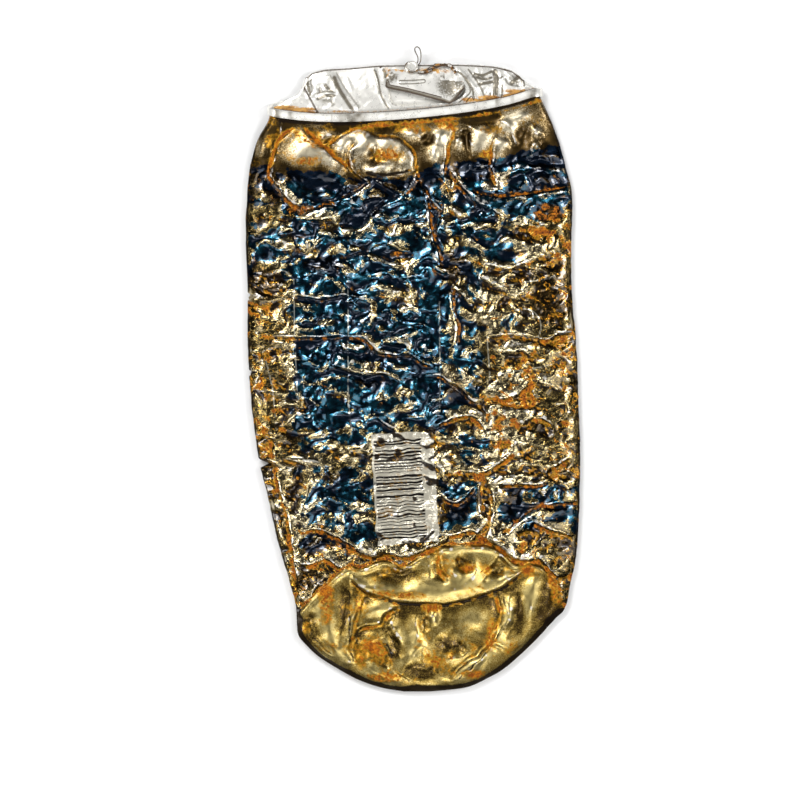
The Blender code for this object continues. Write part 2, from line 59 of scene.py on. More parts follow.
SEAM_OUT, RIM_HALF = 0.805, 1.63
RIM_Z = RIM_HALF + SEAM_OUT
RIM_LEFT, RIM_RIGHT = -45.7, 40.7
RIM_FRONT = [
    (-45.7, 80.7), (-35.4, 79.3), (-22.9, 78.8), (-7.8, 79.4), (5.3, 80.5), (18.2, 82.1), (29.2, 84.1),
    (37, 86.4), (40.7, 87.1),
]
RIM_BACK = [(-45.7, 81.9), (-38.5, 83.4), (-29.8, 84), (-0.3, 83.5), (21, 84.7), (36.5, 87), (40.7, 87.5)]
HOOK_FOOT, FLANGE_OUT = -1.7, 0.125
# The body's first rows, inside the seam, as (outward from the seam's middle line, along the can). The front
# starts deep, so the sheet that closes the tube stays hidden behind the seam.
FLANGE_ROWS = {
    "front": [(-1.2, -1.25), (FLANGE_OUT, -1.25), (FLANGE_OUT, HOOK_FOOT)],
    "back": [(FLANGE_OUT, -1.25), (FLANGE_OUT, -1.25), (FLANGE_OUT, HOOK_FOOT)],
}
BODY_LEFT = [
    (-45, 79), (-48.9, 71.9), (-51.1, 64.4), (-52.3, 53.1), (-52.6, 40.6), (-52, 24.9), (-52, 9.2),
    (-51.1, -7.1), (-49.8, -19), (-48.2, -29.9), (-46, -38.4), (-43.8, -48.4), (-41.3, -58.4), (-38.5, -67.5),
    (-36.6, -76), (-36.3, -82.5), (-34.1, -86), (-30.1, -89.8), (-24.4, -93.5), (-17.5, -97.3),
    (-10.3, -99.8), (-2.8, -101.1),
]
BODY_RIGHT = [
    (40.1, 85.4), (42.9, 79.4), (45.8, 71.9), (47.9, 64.4), (50.1, 54.3), (49.8, 37.4), (50.1, 23), (51.4, 8),
    (52, -7.1), (52.6, -25.2), (52.3, -44.7), (51.4, -58.4), (49.8, -66), (47.9, -74.7), (44.5, -78.5),
    (37.6, -86), (29.2, -93.5), (22.9, -97.3), (17.9, -99.5), (12.9, -100.4), (5.3, -101.1),
]
FOLD_RADIUS, FOLD_Z = 0.5, 1.65
EDGE_RISE, RIM_BLEND = 6, 7
PLATEAU_Z = 4.3
SOFT_TOP, ROOM = 4.7, 1.15  # above SOFT_TOP the relief is pressed softly into this room
# Torn notches in the left fold: (height, how deep to the right, how far down the tip lies, half the opening).
TEARS = [(23, 2.4, 0, 0.7), (-0.9, 2, 0, 0.6), (-29.2, 5.2, 0.9, 1.2)]

# The seam's section, as (outward from its middle line, along the can), from its lip to the end's panel.
SEAM_SECTION = [
    (0.555, -1.25), (SEAM_OUT, -1.25), (SEAM_OUT, 1.05), (0.5, 1.4), (0, 1.475), (-0.5, 1.4),
    (-SEAM_OUT, 1.05), (-SEAM_OUT, -1.1), (-0.98, -1.25), (-1.155, -1.1), (-1.155, 1.3),
]
PANEL_LEFT = [(-39, 84.7), (-35.6, 86.4), (-34.5, 88.6), (-33.4, 91.3)]
PANEL_RIDGE = [
    (-31.3, 92.8), (-27.6, 93.8), (-19.4, 94.3), (-10.3, 95.1), (14.1, 95.4), (25.4, 94.8), (31, 93.4),
]
PANEL_RIGHT = [(34.3, 90.7), (36.3, 89.3)]
PANEL_PUFF, PANEL_TURN = 1.15, 0.8  # how far the panel swells, and how far its corners turn, in radians
TENT_FOOT, TENT_TOP = (-29.8, 80.7), (-34, 88.4)
# The drinking mouth, against the clock.
MOUTH = [(-7.6, 88.6), (-7, 84.4), (-4, 82.9), (6, 83.5), (13, 84.4), (16.2, 87), (14, 90), (2, 90.4)]
MOUTH_DEEP = 1.9
# Folds and beads of the end's panel: (ridge height, step, half-width, grey of the painted shade beside it,
# points). The step is as for CREASES.
PANEL_LINES = [
    (0.15, -0.75, 0.9, 0.8, [(-25.3, 93.4), (-23.4, 89.5), (-20.6, 85.3), (-17.4, 80.8)]),
    (0.42, 0, 0.45, 0.5, [(-12.2, 94.4), (-11, 89.7), (-9.8, 85), (-7.6, 81.5)]),
    (0.48, 0, 0.5, 0.5, [(14, 94.4), (17.9, 90.3), (20.2, 86.9), (21.6, 84.4)]),
    (-0.45, 0, 0.5, 1, [(25.2, 94.3), (26.1, 91.3), (25.6, 85.4)]),
    (0.35, 0, 0.45, 0.2, [(27.2, 93.9), (28, 90.5), (27.6, 86.3)]),
    (-0.4, 0.35, 0.6, 0.9, [(-30.4, 85.6), (-27.6, 86.4), (-24.4, 86)]),
    (-0.35, 0, 0.5, 0.8, [(-32.7, 90.4), (-32.4, 88.6), (-32.1, 86.8)]),
    (-0.3, 0, 0.4, 0.7, [(-29.4, 88.4), (-28.9, 87)]),
    (-0.3, 0, 0.4, 0.7, [(-27.8, 89.5), (-26.3, 87.5)]),
    (0.35, 0.25, 0.7, 0.3, [(-27, 84.8), (-25, 83), (-22.5, 81.5)]),
    (-0.3, 0, 0.6, 0.7, [(18.5, 92.6), (22, 91.6), (24.5, 92.4)]),
    (-0.25, 0, 0.6, 0.6, [(20.5, 89.8), (23, 90.4), (24.6, 89.3)]),
    (-0.35, 0.2, 0.6, 0.8, [(29.5, 92), (30.5, 90), (33.5, 89.6)]),
    (-0.35, 0, 0.7, 0.8, [(31.5, 93), (33, 91), (33.6, 88.6)]),
    (0.3, 0, 0.5, 0.4, [(-21, 92), (-18.5, 86), (-15.5, 81.5)]),
]
# Grey places of painted shade on the end, and stained ones: (x, y, half length along x, half length along y,
# strength).
PANEL_GREY = [
    (-31.5, 88.5, 1.6, 3, 0.6), (-27.5, 84.8, 2.6, 1.8, 0.8), (-22, 87, 1.8, 4.5, 0.5),
    (-16.8, 84, 2, 2.6, 0.4), (17, 91, 1.2, 3, 0.7), (21.5, 91.6, 2.8, 1.8, 0.8), (26, 90, 0.8, 4.6, 0.8),
    (32, 90.5, 2, 2.4, 0.8), (30, 87, 2, 0.8, 0.6), (22, 88, 1.5, 1.2, 0.5), (-8.6, 91.5, 1.2, 2.8, 0.7),
]
PANEL_STAIN = [
    (-40, 82.3, 4.6, 0.8, 1), (-34, 81.7, 5, 0.7, 1), (17.5, 84.6, 3, 0.9, 0.9), (24, 85.4, 5, 0.9, 0.9),
    (31.5, 87.4, 4, 0.8, 0.9), (-43.2, 83.6, 1.2, 1, 0.9), (5.5, 93.6, 7, 1.2, 0.9), (-23, 81, 5, 0.5, 0.7),
    (-8.4, 94, 1.2, 1.2, 0.6), (34, 90, 1, 2.5, 0.4), (-5, 93.6, 3, 0.8, 0.5),
]
# Grey places of painted shade on the seam's rim, given in the same way.
RIM_GREY = [
    (-43.6, 80.9, 2.6, 4, 0.9), (-38.3, 80.2, 1.4, 4, 0.7), (-25.4, 78.4, 0.5, 4, 0.7),
    (-18.8, 78.6, 5.5, 4, 0.95), (-9, 78.9, 2.5, 4, 0.4), (21, 82.4, 3, 4, 0.55), (26.7, 83.4, 1.2, 4, 0.85),
    (31, 84.5, 1.5, 4, 0.45), (37.5, 86.5, 3.5, 4, 0.75),
]
# Dark edges and folds of painted shade, grey painted shade beside folds, and stained strokes on the end's
# panel: (mask, half-width, strength, points).
PANEL_MARKS = [
    ("grey", 0.3, 0.9, [(-34.2, 87), (-33.9, 88.6), (-32.8, 90.3), (-31.4, 91.1)]),
    ("grey", 0.4, 1.3, [(-33, 90.2), (-32.6, 88), (-32, 85.8)]),
    ("grey", 0.3, 1.2, [(-29.5, 88.5), (-28.9, 86.6)]),
    ("grey", 0.35, 1.3, [(-27.7, 89.4), (-26.2, 87.7), (-24.9, 87.1)]),
    ("grey", 0.45, 1.4, [(-30.3, 84.6), (-28.6, 85.4), (-26.8, 86), (-24.2, 85.8)]),
    ("grey", 1.2, 0.7, [(-28.6, 84.2), (-26.2, 84.4), (-24.8, 82.5)]),
    ("grey", 0.75, 1.1, [(-24.9, 92.4), (-23.8, 89.2), (-22, 86), (-18.6, 81)]),
    ("dark", 0.22, 0.6, [(-24.4, 92.4), (-23, 88.6), (-20.9, 84.6), (-17.9, 80.6)]),
    ("grey", 0.3, 1.3, [(-12.3, 94.5), (-10.9, 90.6), (-10.1, 86.4), (-7.4, 81.4)]),
    ("grey", 0.9, 0.5, [(-19.5, 85.5), (-16.2, 81.8)]),
    ("dark", 0.45, 1.2, [(-10.3, 95), (-9.9, 94.7)]),
    ("grey", 0.55, 1.2, [(-9.6, 94.2), (-8.9, 93.5), (-8.5, 91.3)]),
    ("grey", 0.3, 1.2, [(13.5, 93.7), (16.2, 91.7), (18.6, 88), (18.9, 84.9)]),
    ("grey", 0.25, 1.1, [(14.8, 93.4), (16.9, 90.3), (18, 87.3), (16.5, 85.4), (14.1, 83.6)]),
    ("grey", 0.3, 1.1, [(17, 94.6), (20, 90.5), (22, 86.8), (22.3, 84.6)]),
    ("grey", 0.45, 1.3, [(18.9, 92.8), (22, 92.3), (25, 93.7)]),
    ("grey", 0.4, 1.2, [(19.6, 92), (22.3, 91), (25, 91.7)]),
    ("grey", 0.55, 1.3, [(20.3, 89.3), (23.7, 90), (26, 90.3)]),
    ("grey", 0.65, 1.5, [(25.5, 94.4), (26.4, 91), (26, 88.3), (25.9, 84.9)]),
    ("grey", 0.28, 1.2, [(27.9, 89.5), (28, 87), (27.6, 85)]),
    ("grey", 0.3, 1.2, [(27.4, 91.3), (28.1, 92)]),
    ("grey", 0.3, 1.2, [(28.6, 94.5), (29.1, 93.7)]),
    ("grey", 1, 1, [(30.5, 89.3), (32.5, 91.3), (33.8, 92.3)]),
    ("grey", 0.3, 1.1, [(24.1, 86.8), (24.3, 86)]),
    ("grey", 0.3, 1, [(33.5, 92.7), (34.7, 90.6), (34.9, 88.6)]),
    ("dark", 0.3, 0.9, [(-43.3, 83), (-43, 83.8), (-41.8, 84)]),
    ("dark", 0.28, 0.8, [(16.5, 83.8), (18.3, 85.7), (19, 84.6), (19.3, 86)]),
    ("grey", 0.65, 1.1, [(-6, 84.4), (-3.5, 84.9), (-2.2, 85.9)]),
    ("stain", 0.5, 1.3, [(-44, 82.4), (-40, 81.9), (-36, 81.4), (-30, 80.4)]),
    ("stain", 0.5, 1, [(16.2, 83.6), (18.2, 84.8), (20.5, 84.5), (25.5, 85)]),
    ("stain", 0.65, 1, [(28, 85.6), (31.5, 86.6), (35.4, 87.6)]),
    ("stain", 0.35, 0.9, [(-1.8, 85.4), (0.4, 83.6), (1.2, 82.9)]),
    ("stain", 0.3, 0.9, [(0.5, 85.4), (2.4, 84.4), (4.6, 84.6)]),
    ("dark", 0.22, 0.7, [(-4, 85.6), (-6.6, 83.4), (-3.8, 83.2), (-3.9, 85.4)]),
    ("dark", 0.5, 0.5, [(-4.6, 84.6), (-5.6, 83.8), (-4.4, 83.6)]),
    ("dark", 0.16, 0.7, [(-0.6, 85.2), (0.2, 83.2)]),
    ("dark", 0.16, 0.6, [(3, 84.6), (3.6, 83.4)]),
    ("stain", 0.45, 0.6, [(-21.5, 81.2), (-18, 80.2), (-14, 80)]),
]
FLAP_UPPER = [(-8.3, 92.2), (-7.4, 94.2), (-2, 94), (4, 93.9), (9, 94.3), (13, 93.4), (16, 90.6)]
FLAP_LOWER = [(-8.6, 89.6), (-8, 88.2), (-2, 86.9), (4, 85.4), (9, 84.1), (12.2, 83.6), (16.2, 88.2)]
FLAP_LOW, FLAP_HIGH, FLAP_THICK = 3.3, 4.75, 0.25
FLAP_BEAD = [(-3.9, 90), (0, 90.1), (3.3, 90.4)]
FLAP_BAND_END = 9  # the line above the flap's rolled lower band runs this far right
# The flap's dip, and its grey places of painted shade: (x, y, half length along x, half length along y, depth
# or strength).
FLAP_DIP = [(10.5, 89.6, 3.6, 3.0, 0.35)]
FLAP_STIPPLE = [(11.8, 89.4, 4.8, 4.6, 1.0)]
FLAP_LEFT_END = [(-7.0, 91.8, 2.6, 1.9, 1.0)]
CURL = [(1.5, 93), (4, 93.2), (6.2, 94.6), (8.6, 95.7), (11, 95.5), (12.6, 94.2), (13.4, 92.8)]
CURL_WIDTH, CURL_THICK, CURL_Z, CURL_TOP = 1.5, 0.16, 4.75, 95.9

RIVET_FOOT, RIVET_AXIS = (-0.25, 94.45, 2.95), (0, 0.32, 0.947)
RIVET_PROFILE = [
    (0.9, -0.1), (0.9, 1.6), (1.2, 1.65), (1.72, 1.68), (1.78, 1.8), (1.75, 1.93), (1.6, 2.04), (1.4, 2.06),
    (1.28, 1.98), (1.22, 1.88), (0.8, 1.83), (0.3, 1.82), (0.05, 1.82),
]
# Dark rings of painted shade round the rivet's head and the tab's ring: (x, y, radius).
RIVET_OUTLINE, ISLAND_OUTLINE = (-0.25, 95.05, 1.5), (-0.9, 94.9, 2.05)
ISLAND_HOLE, ISLAND_RADIUS, ISLAND_SHIFT = 1.2, 2.05, 0.35
ISLAND_LOW, ISLAND_THICK = 0.95, 0.4
LOOP_ROUTE = [
    (0.7, 95.5, 3.62), (1.5, 96.4, 3.62), (1.5, 98, 3.65), (0.75, 99.6, 3.65), (0.6, 100.7, 3.65),
    (1.3, 101.2, 3.6), (2.1, 100.6, 3.6), (2.5, 99, 3.65), (2.45, 97.2, 3.65), (2, 95.9, 3.65),
    (0.9, 94.9, 3.8),
]
LOOP_WIDTH, LOOP_THICK = 0.6, 0.34

# ------------ the body's relief and print

# The folded base: its edge on the front, and the crease where its upper lip overlaps the disc.
BASE_EDGE = [
    (-37, -79), (-35.3, -75.6), (-27.8, -68.1), (-22.3, -63.1), (-19, -61.8), (-15.8, -62.3), (-10.8, -60.1),
    (-7.3, -60.1), (-3.8, -62.1), (2.2, -58.6), (6.7, -57.1), (9.2, -55.6), (14.7, -55.1), (22.2, -55.1),
    (26.7, -56.6), (32.2, -61.1), (38.7, -61.1), (41.7, -63.1), (44.7, -66.6), (46.2, -70.6), (47.2, -74.6),
]
LIP_CREASE = [
    (-19.3, -66.1), (-16.8, -68.6), (-13.8, -70.6), (-8.8, -71.6), (-3.8, -73.1), (6.7, -73.6), (10.7, -73.6),
    (19.2, -71.6), (27.7, -68.6), (33.2, -64.6), (37.7, -61.1),
]
LIP_LEFT, LIP_RIGHT = -19.3, 37.7

# Creases of the crushed front: (ridge height, step, rust, points). A step above 0 raises the side on the left
# hand of someone walking along the points, and the rust lies on the lower side.
CREASES = [
    # round the neck
    (0.35, -0.2, 0, [
        (-40.7, 78.5), (-41.7, 73.4), (-42.8, 70.7), (-44.8, 69), (-44.3, 66), (-45, 61.7), (-46.5, 58.5),
    ]),
    (0.6, 0.35, 1, [
        (-35.7, 75.2), (-39.3, 73.7), (-41.3, 71.7), (-42.7, 68.4), (-43.7, 64.7), (-44.3, 60.7), (-42, 57.5),
        (-40, 54.5), (-37, 52), (-33.5, 51),
    ]),
    (0.6, -0.45, 1, [
        (-35.7, 75.2), (-34, 74.4), (-32.3, 73), (-30, 70), (-27.7, 68.7), (-25, 66.4), (-22.3, 64),
        (-20.6, 62.4),
    ]),
    (0.6, -0.45, 0.6, [
        (-27.7, 69.2), (-25.3, 70.4), (-22.7, 72.4), (-19.6, 74), (-17, 75), (-14.6, 74.4), (-12.3, 73),
        (-9.6, 72.4), (-5, 72), (-2.6, 70), (-0.3, 67.4), (0, 62),
    ]),
    (0.6, 0.35, 0.4, [
        (-16.3, 71), (-19.3, 68.7), (-19.5, 66), (-19, 63), (-16.5, 60.5), (-13.8, 58.4), (-17.4, 55.5),
        (-22.5, 53), (-28.9, 52), (-34.3, 53.6),
    ]),
    (0.3, 0.2, 0, [(-11.9, 59.7), (-9, 57.4), (-4.3, 55.5)]),
    (0.3, 0.2, 0, [(-16.1, 52.6), (-13.5, 53.9), (-9.7, 54.1)]),
    (0.35, 0.25, 0.3, [(-16.5, 63.5), (-13.5, 61.5), (-7.5, 60.5), (-2, 61.5)]),
    (0.55, 0.35, 0.3, [
        (-11.5, 59.5), (-7.5, 57.5), (-3.5, 54.5), (-8, 52), (-12, 50), (-14.5, 45.5), (-17, 44), (-23, 44),
    ]),
    (0.4, 0.2, 0.8, [(-3, 55.5), (0, 58.5), (0.8, 62)]),
    (0.45, -0.3, 0.9, [(-43.5, 46.5), (-39.5, 46), (-33.5, 48.5), (-28, 50.5), (-23.5, 51)]),
    (0.6, -0.3, 1, [(10, 77.5), (12, 74.6), (10.3, 70.1), (10, 65.4), (8.6, 60)]),
    (0.45, 0.2, 0.2, [(12.7, 74.2), (15.6, 75.2), (18.5, 76.3)]),
    (0.45, 0.2, 0, [(18.5, 76.3), (17.8, 72.9), (18.5, 69.5), (18.8, 66)]),
    (0.4, 0.2, 0, [(27, 77.8), (29.5, 77), (31, 74.6), (32.4, 70.1)]),
    (0.35, -0.2, 0.1, [(40, 74.5), (37.5, 72.5), (39.5, 69)]),
    (0.5, 0.3, 0.9, [(26.4, 72.8), (25.3, 68.8), (25, 65.4), (25.3, 61.5), (27, 58)]),
    (0.5, 0.25, 0.9, [(9, 61.5), (12, 57), (13, 59), (17.5, 55.5)]),
    (0.6, 0.35, 0.4, [(11.5, 63), (17.5, 55.5), (20.5, 52.5), (24.5, 50.5), (28.5, 48)]),
    (0.6, -0.35, 0.9, [(17.5, 55.5), (23, 54), (28.5, 53.5), (34, 54), (40, 55), (49.5, 56.5)]),
    (0.45, 0.3, 0.3, [(11.5, 51), (14.5, 48.5), (16.5, 49), (19, 51.5)]),
    (0.45, -0.25, 0.2, [(14.5, 45), (17.5, 46), (22.5, 50)]),
    (0.6, -0.35, 1, [(0.5, 60), (4, 54), (5, 45.5), (7, 38), (9, 30.5)]),
    (0.45, 0.25, 0.7, [(2.5, 57), (6, 53), (9.5, 49.5)]),
    (0.45, 0.2, 0.6, [(10.5, 52), (9, 47), (7, 41.5)]),
    (0.45, -0.25, 0.3, [(17.5, 41.5), (23, 38), (28.5, 41), (31, 42.5)]),
    (0.4, 0.25, 0.5, [(23.5, 33.5), (29.5, 32), (34.5, 33.5), (42, 36.5)]),
    # the middle
    (0.5, 0.3, 0.6, [
        (-46.5, 11), (-37, 10.5), (-27.5, 10.5), (-16.5, 10.5), (-13, 8), (-11, 6), (-5.5, 5), (-1, 5),
        (4, 2), (7.5, 1.5),
    ]),
    (0.55, 0.3, 0.5, [(2, -1.5), (7.5, -1.5), (10, -2.5), (15, -6), (18.5, -9.5), (21, -9.5)]),
    (0.5, -0.25, 0.9, [(11.5, 25.5), (12, 19), (13.5, 13.5), (13, 7.5)]),
    (0.4, 0.2, 0.5, [(12.5, 26.5), (16.5, 22.5), (18.5, 20)]),
    (0.55, 0.35, 0.6, [(22.5, 10.5), (28.5, 11), (34, 11), (42, 9.5), (45.5, 11), (51.5, 12.5)]),
    (0.5, 0.3, 0.9, [(23, -8), (28.5, -9), (32.5, -8), (36, -4.5)]),
    (0.45, -0.25, 0.9, [(26.5, -11), (32.5, -12.5), (37.5, -13)]),
    (0.5, 0.3, 0.9, [(7.5, -18.5), (9, -16.5), (17, -14), (21, -16.5), (23, -19)]),
    (0.5, 0.3, 0.9, [(34, -17.5), (36, -15.5), (40, -15), (45, -17.5)]),
    (0.45, 0.25, 0.1, [(-32.5, -8.5), (-30.5, -12), (-31, -16)]),
    (0.5, 0.3, 0.2, [(-15, -16.5), (-12, -15), (-9, -16.5), (-5, -19)]),
    (0.4, 0.3, 0.3, [(-38, 24), (-30, 22.5), (-21, 23.5), (-12, 21)]),
    (0.4, -0.3, 0.4, [(-22, 33.5), (-14, 36), (-6, 33), (1, 35)]),
    (0.4, 0.3, 0.2, [(-16, -2), (-9, -1), (-3, -4)]),
    # the lower part, above the base
    (0.45, 0.2, 0.9, [
        (-43.5, -19.5), (-43, -28.5), (-41.5, -38), (-39, -45), (-37.5, -56), (-36, -67.5), (-35.5, -73.5),
    ]),
    (0.35, 0.2, 0.6, [(-43.5, -29), (-39.5, -28), (-35, -29.5)]),
    (0.6, 0.35, 1, [
        (-37, -51.5), (-32.5, -50), (-28, -50.5), (-23.5, -52.5), (-19.5, -54.5), (-16.5, -57), (-12, -58.5),
        (-7.5, -57.5), (-2.5, -58.5), (2.5, -57), (10, -53.5),
    ]),
    (0.5, 0.3, 0.8, [(-36, -61), (-31.5, -60.5), (-27, -59), (-23, -62), (-20.5, -63)]),
    (0.55, 0.3, 0.7, [(9, -40), (13.5, -41.5), (17.5, -38.5), (19, -36)]),
    (0.55, 0.35, 0.9, [(9, -32.5), (14.5, -31.5), (21, -32), (27.5, -29), (31.5, -25.5)]),
    (0.5, -0.25, 0.8, [(20.5, -36), (20.5, -41.5), (21.5, -46.5)]),
    (0.5, 0.3, 0.9, [(24.5, -37), (25.5, -42), (24.5, -48), (23, -53.5)]),
    (0.55, 0.35, 0.7, [(26, -36), (34, -35.5), (40.5, -35.5), (43, -31), (49.5, -27.5)]),
    (0.4, 0.25, 0.2, [(39, -37.5), (41, -38.5), (44, -34.5)]),
    (0.5, 0.3, 0.8, [(33.5, -41.5), (40, -42), (45.5, -41.5), (52.5, -41)]),
    (0.6, -0.35, 0.8, [(27.5, -52), (30.5, -51), (34, -47.5), (39, -44), (42, -42)]),
    (0.5, 0.3, 0.9, [(37.5, -47.5), (42, -49.5), (46.5, -51), (50.5, -52)]),
    (0.5, 0.25, 0.9, [(42, -50.5), (38, -55), (34, -58.5)]),
    (0.5, 0.35, 1, [(9, -52.5), (14.5, -51), (19, -50.5), (23, -53), (28, -56), (31.5, -59), (38.5, -60)]),
    (0.4, 0.2, 0.8, [(18.5, -53), (21, -50), (24, -47.5)]),
    (0.45, 0.25, 0.9, [(39.5, -58.5), (45.5, -64.5), (50.5, -63)]),
]
# Creases of the folded base.
BASE_CREASES = [
    (0.45, -0.5, 0.7, [
        (-16.8, -69.7), (-17.7, -74.8), (-19.3, -79.9), (-20, -84.4), (-20.3, -88.6), (-17.7, -91.8),
    ]),
    (0.5, -0.45, 0.9, [
        (-4, -73.6), (-9.7, -77.1), (-11, -79.3), (-14.9, -79.9), (-17.7, -81.5), (-19, -85.4),
    ]),
    (0.4, 0.45, 1, [(-10.5, -83.7), (-7.8, -87.9), (-6.2, -91.1), (-7.5, -94.3)]),
    (0.4, 0.45, 1, [(27.4, -70), (28.6, -77), (27, -81.5), (24.6, -86)]),
    (0.3, 0.4, 0.5, [(24.6, -86), (21.3, -89.5), (14.9, -94.3), (12.7, -97.8)]),
    (0.45, 0.4, 0.9, [(9.5, -55.6), (9, -61.4), (11.4, -65.6), (10.1, -67.8)]),
    (0.4, 0.25, 0.3, [(27.4, -57.6), (31.9, -60.8), (37, -60.6)]),
    (0.25, -0.2, 0.3, [(-35, -78), (-31.5, -84.5), (-25, -90.5)]),
]
# Soft ridges and valleys of the folded base: (height, half-width, points).
BASE_RIDGES = [
    (1, 2.6, [(-30, -71), (-27.5, -78), (-25.5, -84), (-22.5, -90.5)]),
    (-1, 2.2, [(-21.3, -67.5), (-20.8, -74.2), (-22, -80.6), (-22.9, -87)]),
    (-0.7, 2, [(-33.5, -76), (-32.1, -81), (-29, -86.5)]),
    (0.9, 1.3, [(-4.6, -74.5), (-5.9, -78.3), (-6.5, -80.6), (-4.3, -84), (-3, -87)]),
    (-1.1, 1.5, [(-8.6, -79.8), (-6.6, -85), (-3.3, -91)]),
    (-0.7, 0.9, [(-16.1, -86.8), (-12, -89.8), (-8.5, -92.3)]),
    (0.8, 1.2, [(0.5, -76), (0.8, -80), (1, -84), (0.8, -88)]),
    (0.8, 1.6, [(4.6, -84.4), (1.6, -87.8), (-1.4, -90.5)]),
    (-0.8, 1.6, [(3.2, -77), (3.4, -80), (3.8, -82.5)]),
    (-1.1, 2.2, [(7.3, -83.8), (11.7, -87), (16.2, -86)]),
    (0.7, 1.6, [(8.5, -89.4), (14.5, -90.4), (20, -86.5)]),
    (0.8, 1.2, [(26.2, -79.5), (25, -85), (21, -91), (15.3, -96.5)]),
    (-0.9, 2.6, [(-2.5, -93), (2, -94.6), (8, -93.4)]),
    (0.6, 1.8, [(-15.5, -93), (-9, -96.3), (-3, -97.8)]),
    (1, 2.6, [(36.8, -64.5), (38, -71), (35.5, -78.5)]),
    (-0.8, 1.4, [(33, -69), (32.6, -77.5), (28.6, -85)]),
    (0.8, 1, [(30, -70), (30.3, -76), (28.6, -81.5)]),
    (-0.8, 2.2, [(42.8, -66.5), (42, -73), (38.5, -79.5)]),
    (0.8, 1.2, [(15.9, -57.8), (19.5, -61), (19.2, -64.5), (16.8, -67), (13.3, -68.8), (8.5, -69)]),
    (-1.1, 1.4, [(12.8, -60), (16.2, -61.2), (17, -64.5)]),
    (-1, 2, [(-11, -63.2), (-5, -64.8), (0.5, -63.8)]),
    (0.8, 1.8, [(4.6, -59), (5.4, -63), (4.4, -67)]),
    (-0.7, 1.6, [(20.5, -67.5), (23.5, -65), (29, -64.5)]),
]
# Smooth dents and swells: (height, x, y, half length along x, half length along y, turned by degrees).
SWELLS = [
    (0.9, -33.5, 67.5, 5.5, 4.5, 20), (0.5, -26.3, 64.7, 2, 2.5, 0), (0.6, -26.8, 73.2, 3.2, 1.6, 25),
    (-0.8, -20, 76.2, 7, 1.3, 5), (0.7, -21.8, 69.5, 2.2, 3, 0), (0.8, -15, 70, 2.6, 3.2, -10),
    (-0.6, -12, 66.8, 1.6, 2.5, 0), (0.8, -7.5, 69.5, 3.4, 3.4, -20), (0.6, -10.5, 63.3, 4, 1.2, 12),
    (0.7, -1.2, 74.2, 2.2, 1.8, 0), (-0.5, -4.5, 67.5, 1.6, 2, 0), (-0.6, -37.5, 77.3, 3, 1.4, 0),
    (-0.6, -9, 75.6, 4, 1.2, 0), (0.5, 1.8, 73.6, 2.2, 1.6, 0), (-0.8, 4.6, 72.2, 1.7, 1.7, 0),
    (0.7, 8.2, 73, 1.8, 2.2, -20), (0.5, 6.6, 67.3, 1.4, 2.2, 0), (0.8, 14.4, 71.5, 1.7, 2.6, 0),
    (-0.6, 16.6, 72.5, 1, 3, 0), (0.7, 22, 72, 3.2, 4.5, -10), (-0.8, 21.5, 78.4, 5.5, 1.4, 8),
    (0.8, 29.5, 76, 2.2, 2.6, 20), (0.6, 33.5, 79.4, 3, 1.4, 15), (0.7, 28.3, 70.6, 2.2, 1.9, 0),
    (-0.9, 34.5, 73.2, 2, 2.8, -20), (0.7, 38, 69.8, 1.3, 2.5, -30), (0.6, 38.8, 74.6, 2, 1.2, -20),
    (0.5, -47.8, 70, 1.6, 4, 0), (-0.6, -30, 57.7, 7, 3.2, 0), (-0.6, 5, 60, 3.5, 4.5, 0),
    (0.7, -12.5, -74.6, 4.5, 2.6, 15), (0.35, -12.3, -86, 3.2, 4.6, 25), (0.9, 6.4, -77.2, 1.6, 2.4, 0),
    (0.6, 19.2, -77.2, 4.6, 4.2, -20), (0.6, 13.3, -64.2, 1.8, 2, 0), (-0.9, 26.1, -62.8, 2.2, 1.6, 0),
    (-0.7, 18, 61, 5, 3, -15), (0.5, 24, 57, 5, 2.2, -10), (-0.6, -12.5, 51.3, 4, 2.8, 20),
    (-0.6, -18, 48, 5, 3, 0), (-0.6, 15, 53, 3, 3, 0), (-0.6, 27, 36.5, 6, 3, 0), (0.6, 33, 6.5, 8, 3, 0),
    (-0.6, 15, -9, 5, 4, -30), (-0.5, 16, -25, 5, 5, 0), (-0.5, 15, -45.5, 5, 5, 0),
    (-0.5, 32, -43, 6, 3, 30), (-0.6, 38, -33, 6, 2, 0), (-0.7, -30, -56, 5, 2.5, 0),
    (-0.5, 36, -54, 5, 3.5, 30), (0.4, -2, -45, 7, 9, 0),
]
# Places where the sheet stays smooth: (x, y, half length along x, half length along y, how calm).
CALM = [
    (-30, 58, 10, 6, 0.95), (-10, 54, 7, 6, 0.85), (-20, 47.5, 6, 4, 0.7), (5, 59, 5, 6, 0.8),
    (16, 58, 8, 6, 0.75), (15.5, 50, 5, 4, 0.8), (17, 40, 5, 5, 0.6), (27, 37, 7, 4, 0.6),
    (15, -8, 6, 5, 0.75), (15, -45.5, 6, 6, 0.7), (32, -43, 8, 5, 0.6), (16, -25, 5, 5, 0.4),
    (-3, -38, 11, 18, 0.72), (-31, -57, 5, 4, 0.6), (44, -58, 6, 5, 0.5), (13, -36, 6, 3, 0.5),
]
# Where the blue ink lies: (left, right, bottom, top, strength), below the line where the gold neck ends.
NECK_LINE = [
    (-53, 64.5), (-44, 64), (-36, 62.5), (-26, 62), (-19, 60), (-12, 60.5), (-3, 59.5), (3, 62.5), (9, 64.5),
    (21, 66), (27, 66), (34, 68.5), (44, 70.5), (53, 73),
]
BLUE = [
    (-38, 12, -20, 66, 1), (-37, -12.5, -34, -18, 0.75), (-36, -12, -57, -33, 0.85), (12, 51, 47, 72, 1),
    (10, 33, 33, 49, 0.9), (10, 22, -14, 33, 0.75), (12.5, 25, -31, -18.5, 0.8),
    (8.5, 21.5, -50.5, -34, 0.95), (25.5, 53, -51, -35, 0.85), (-53, -38, 30, 66, 0.75), (26, 33, 8, 24, 0.5),
    (-38, -33, -62, -48, 0.5),
]
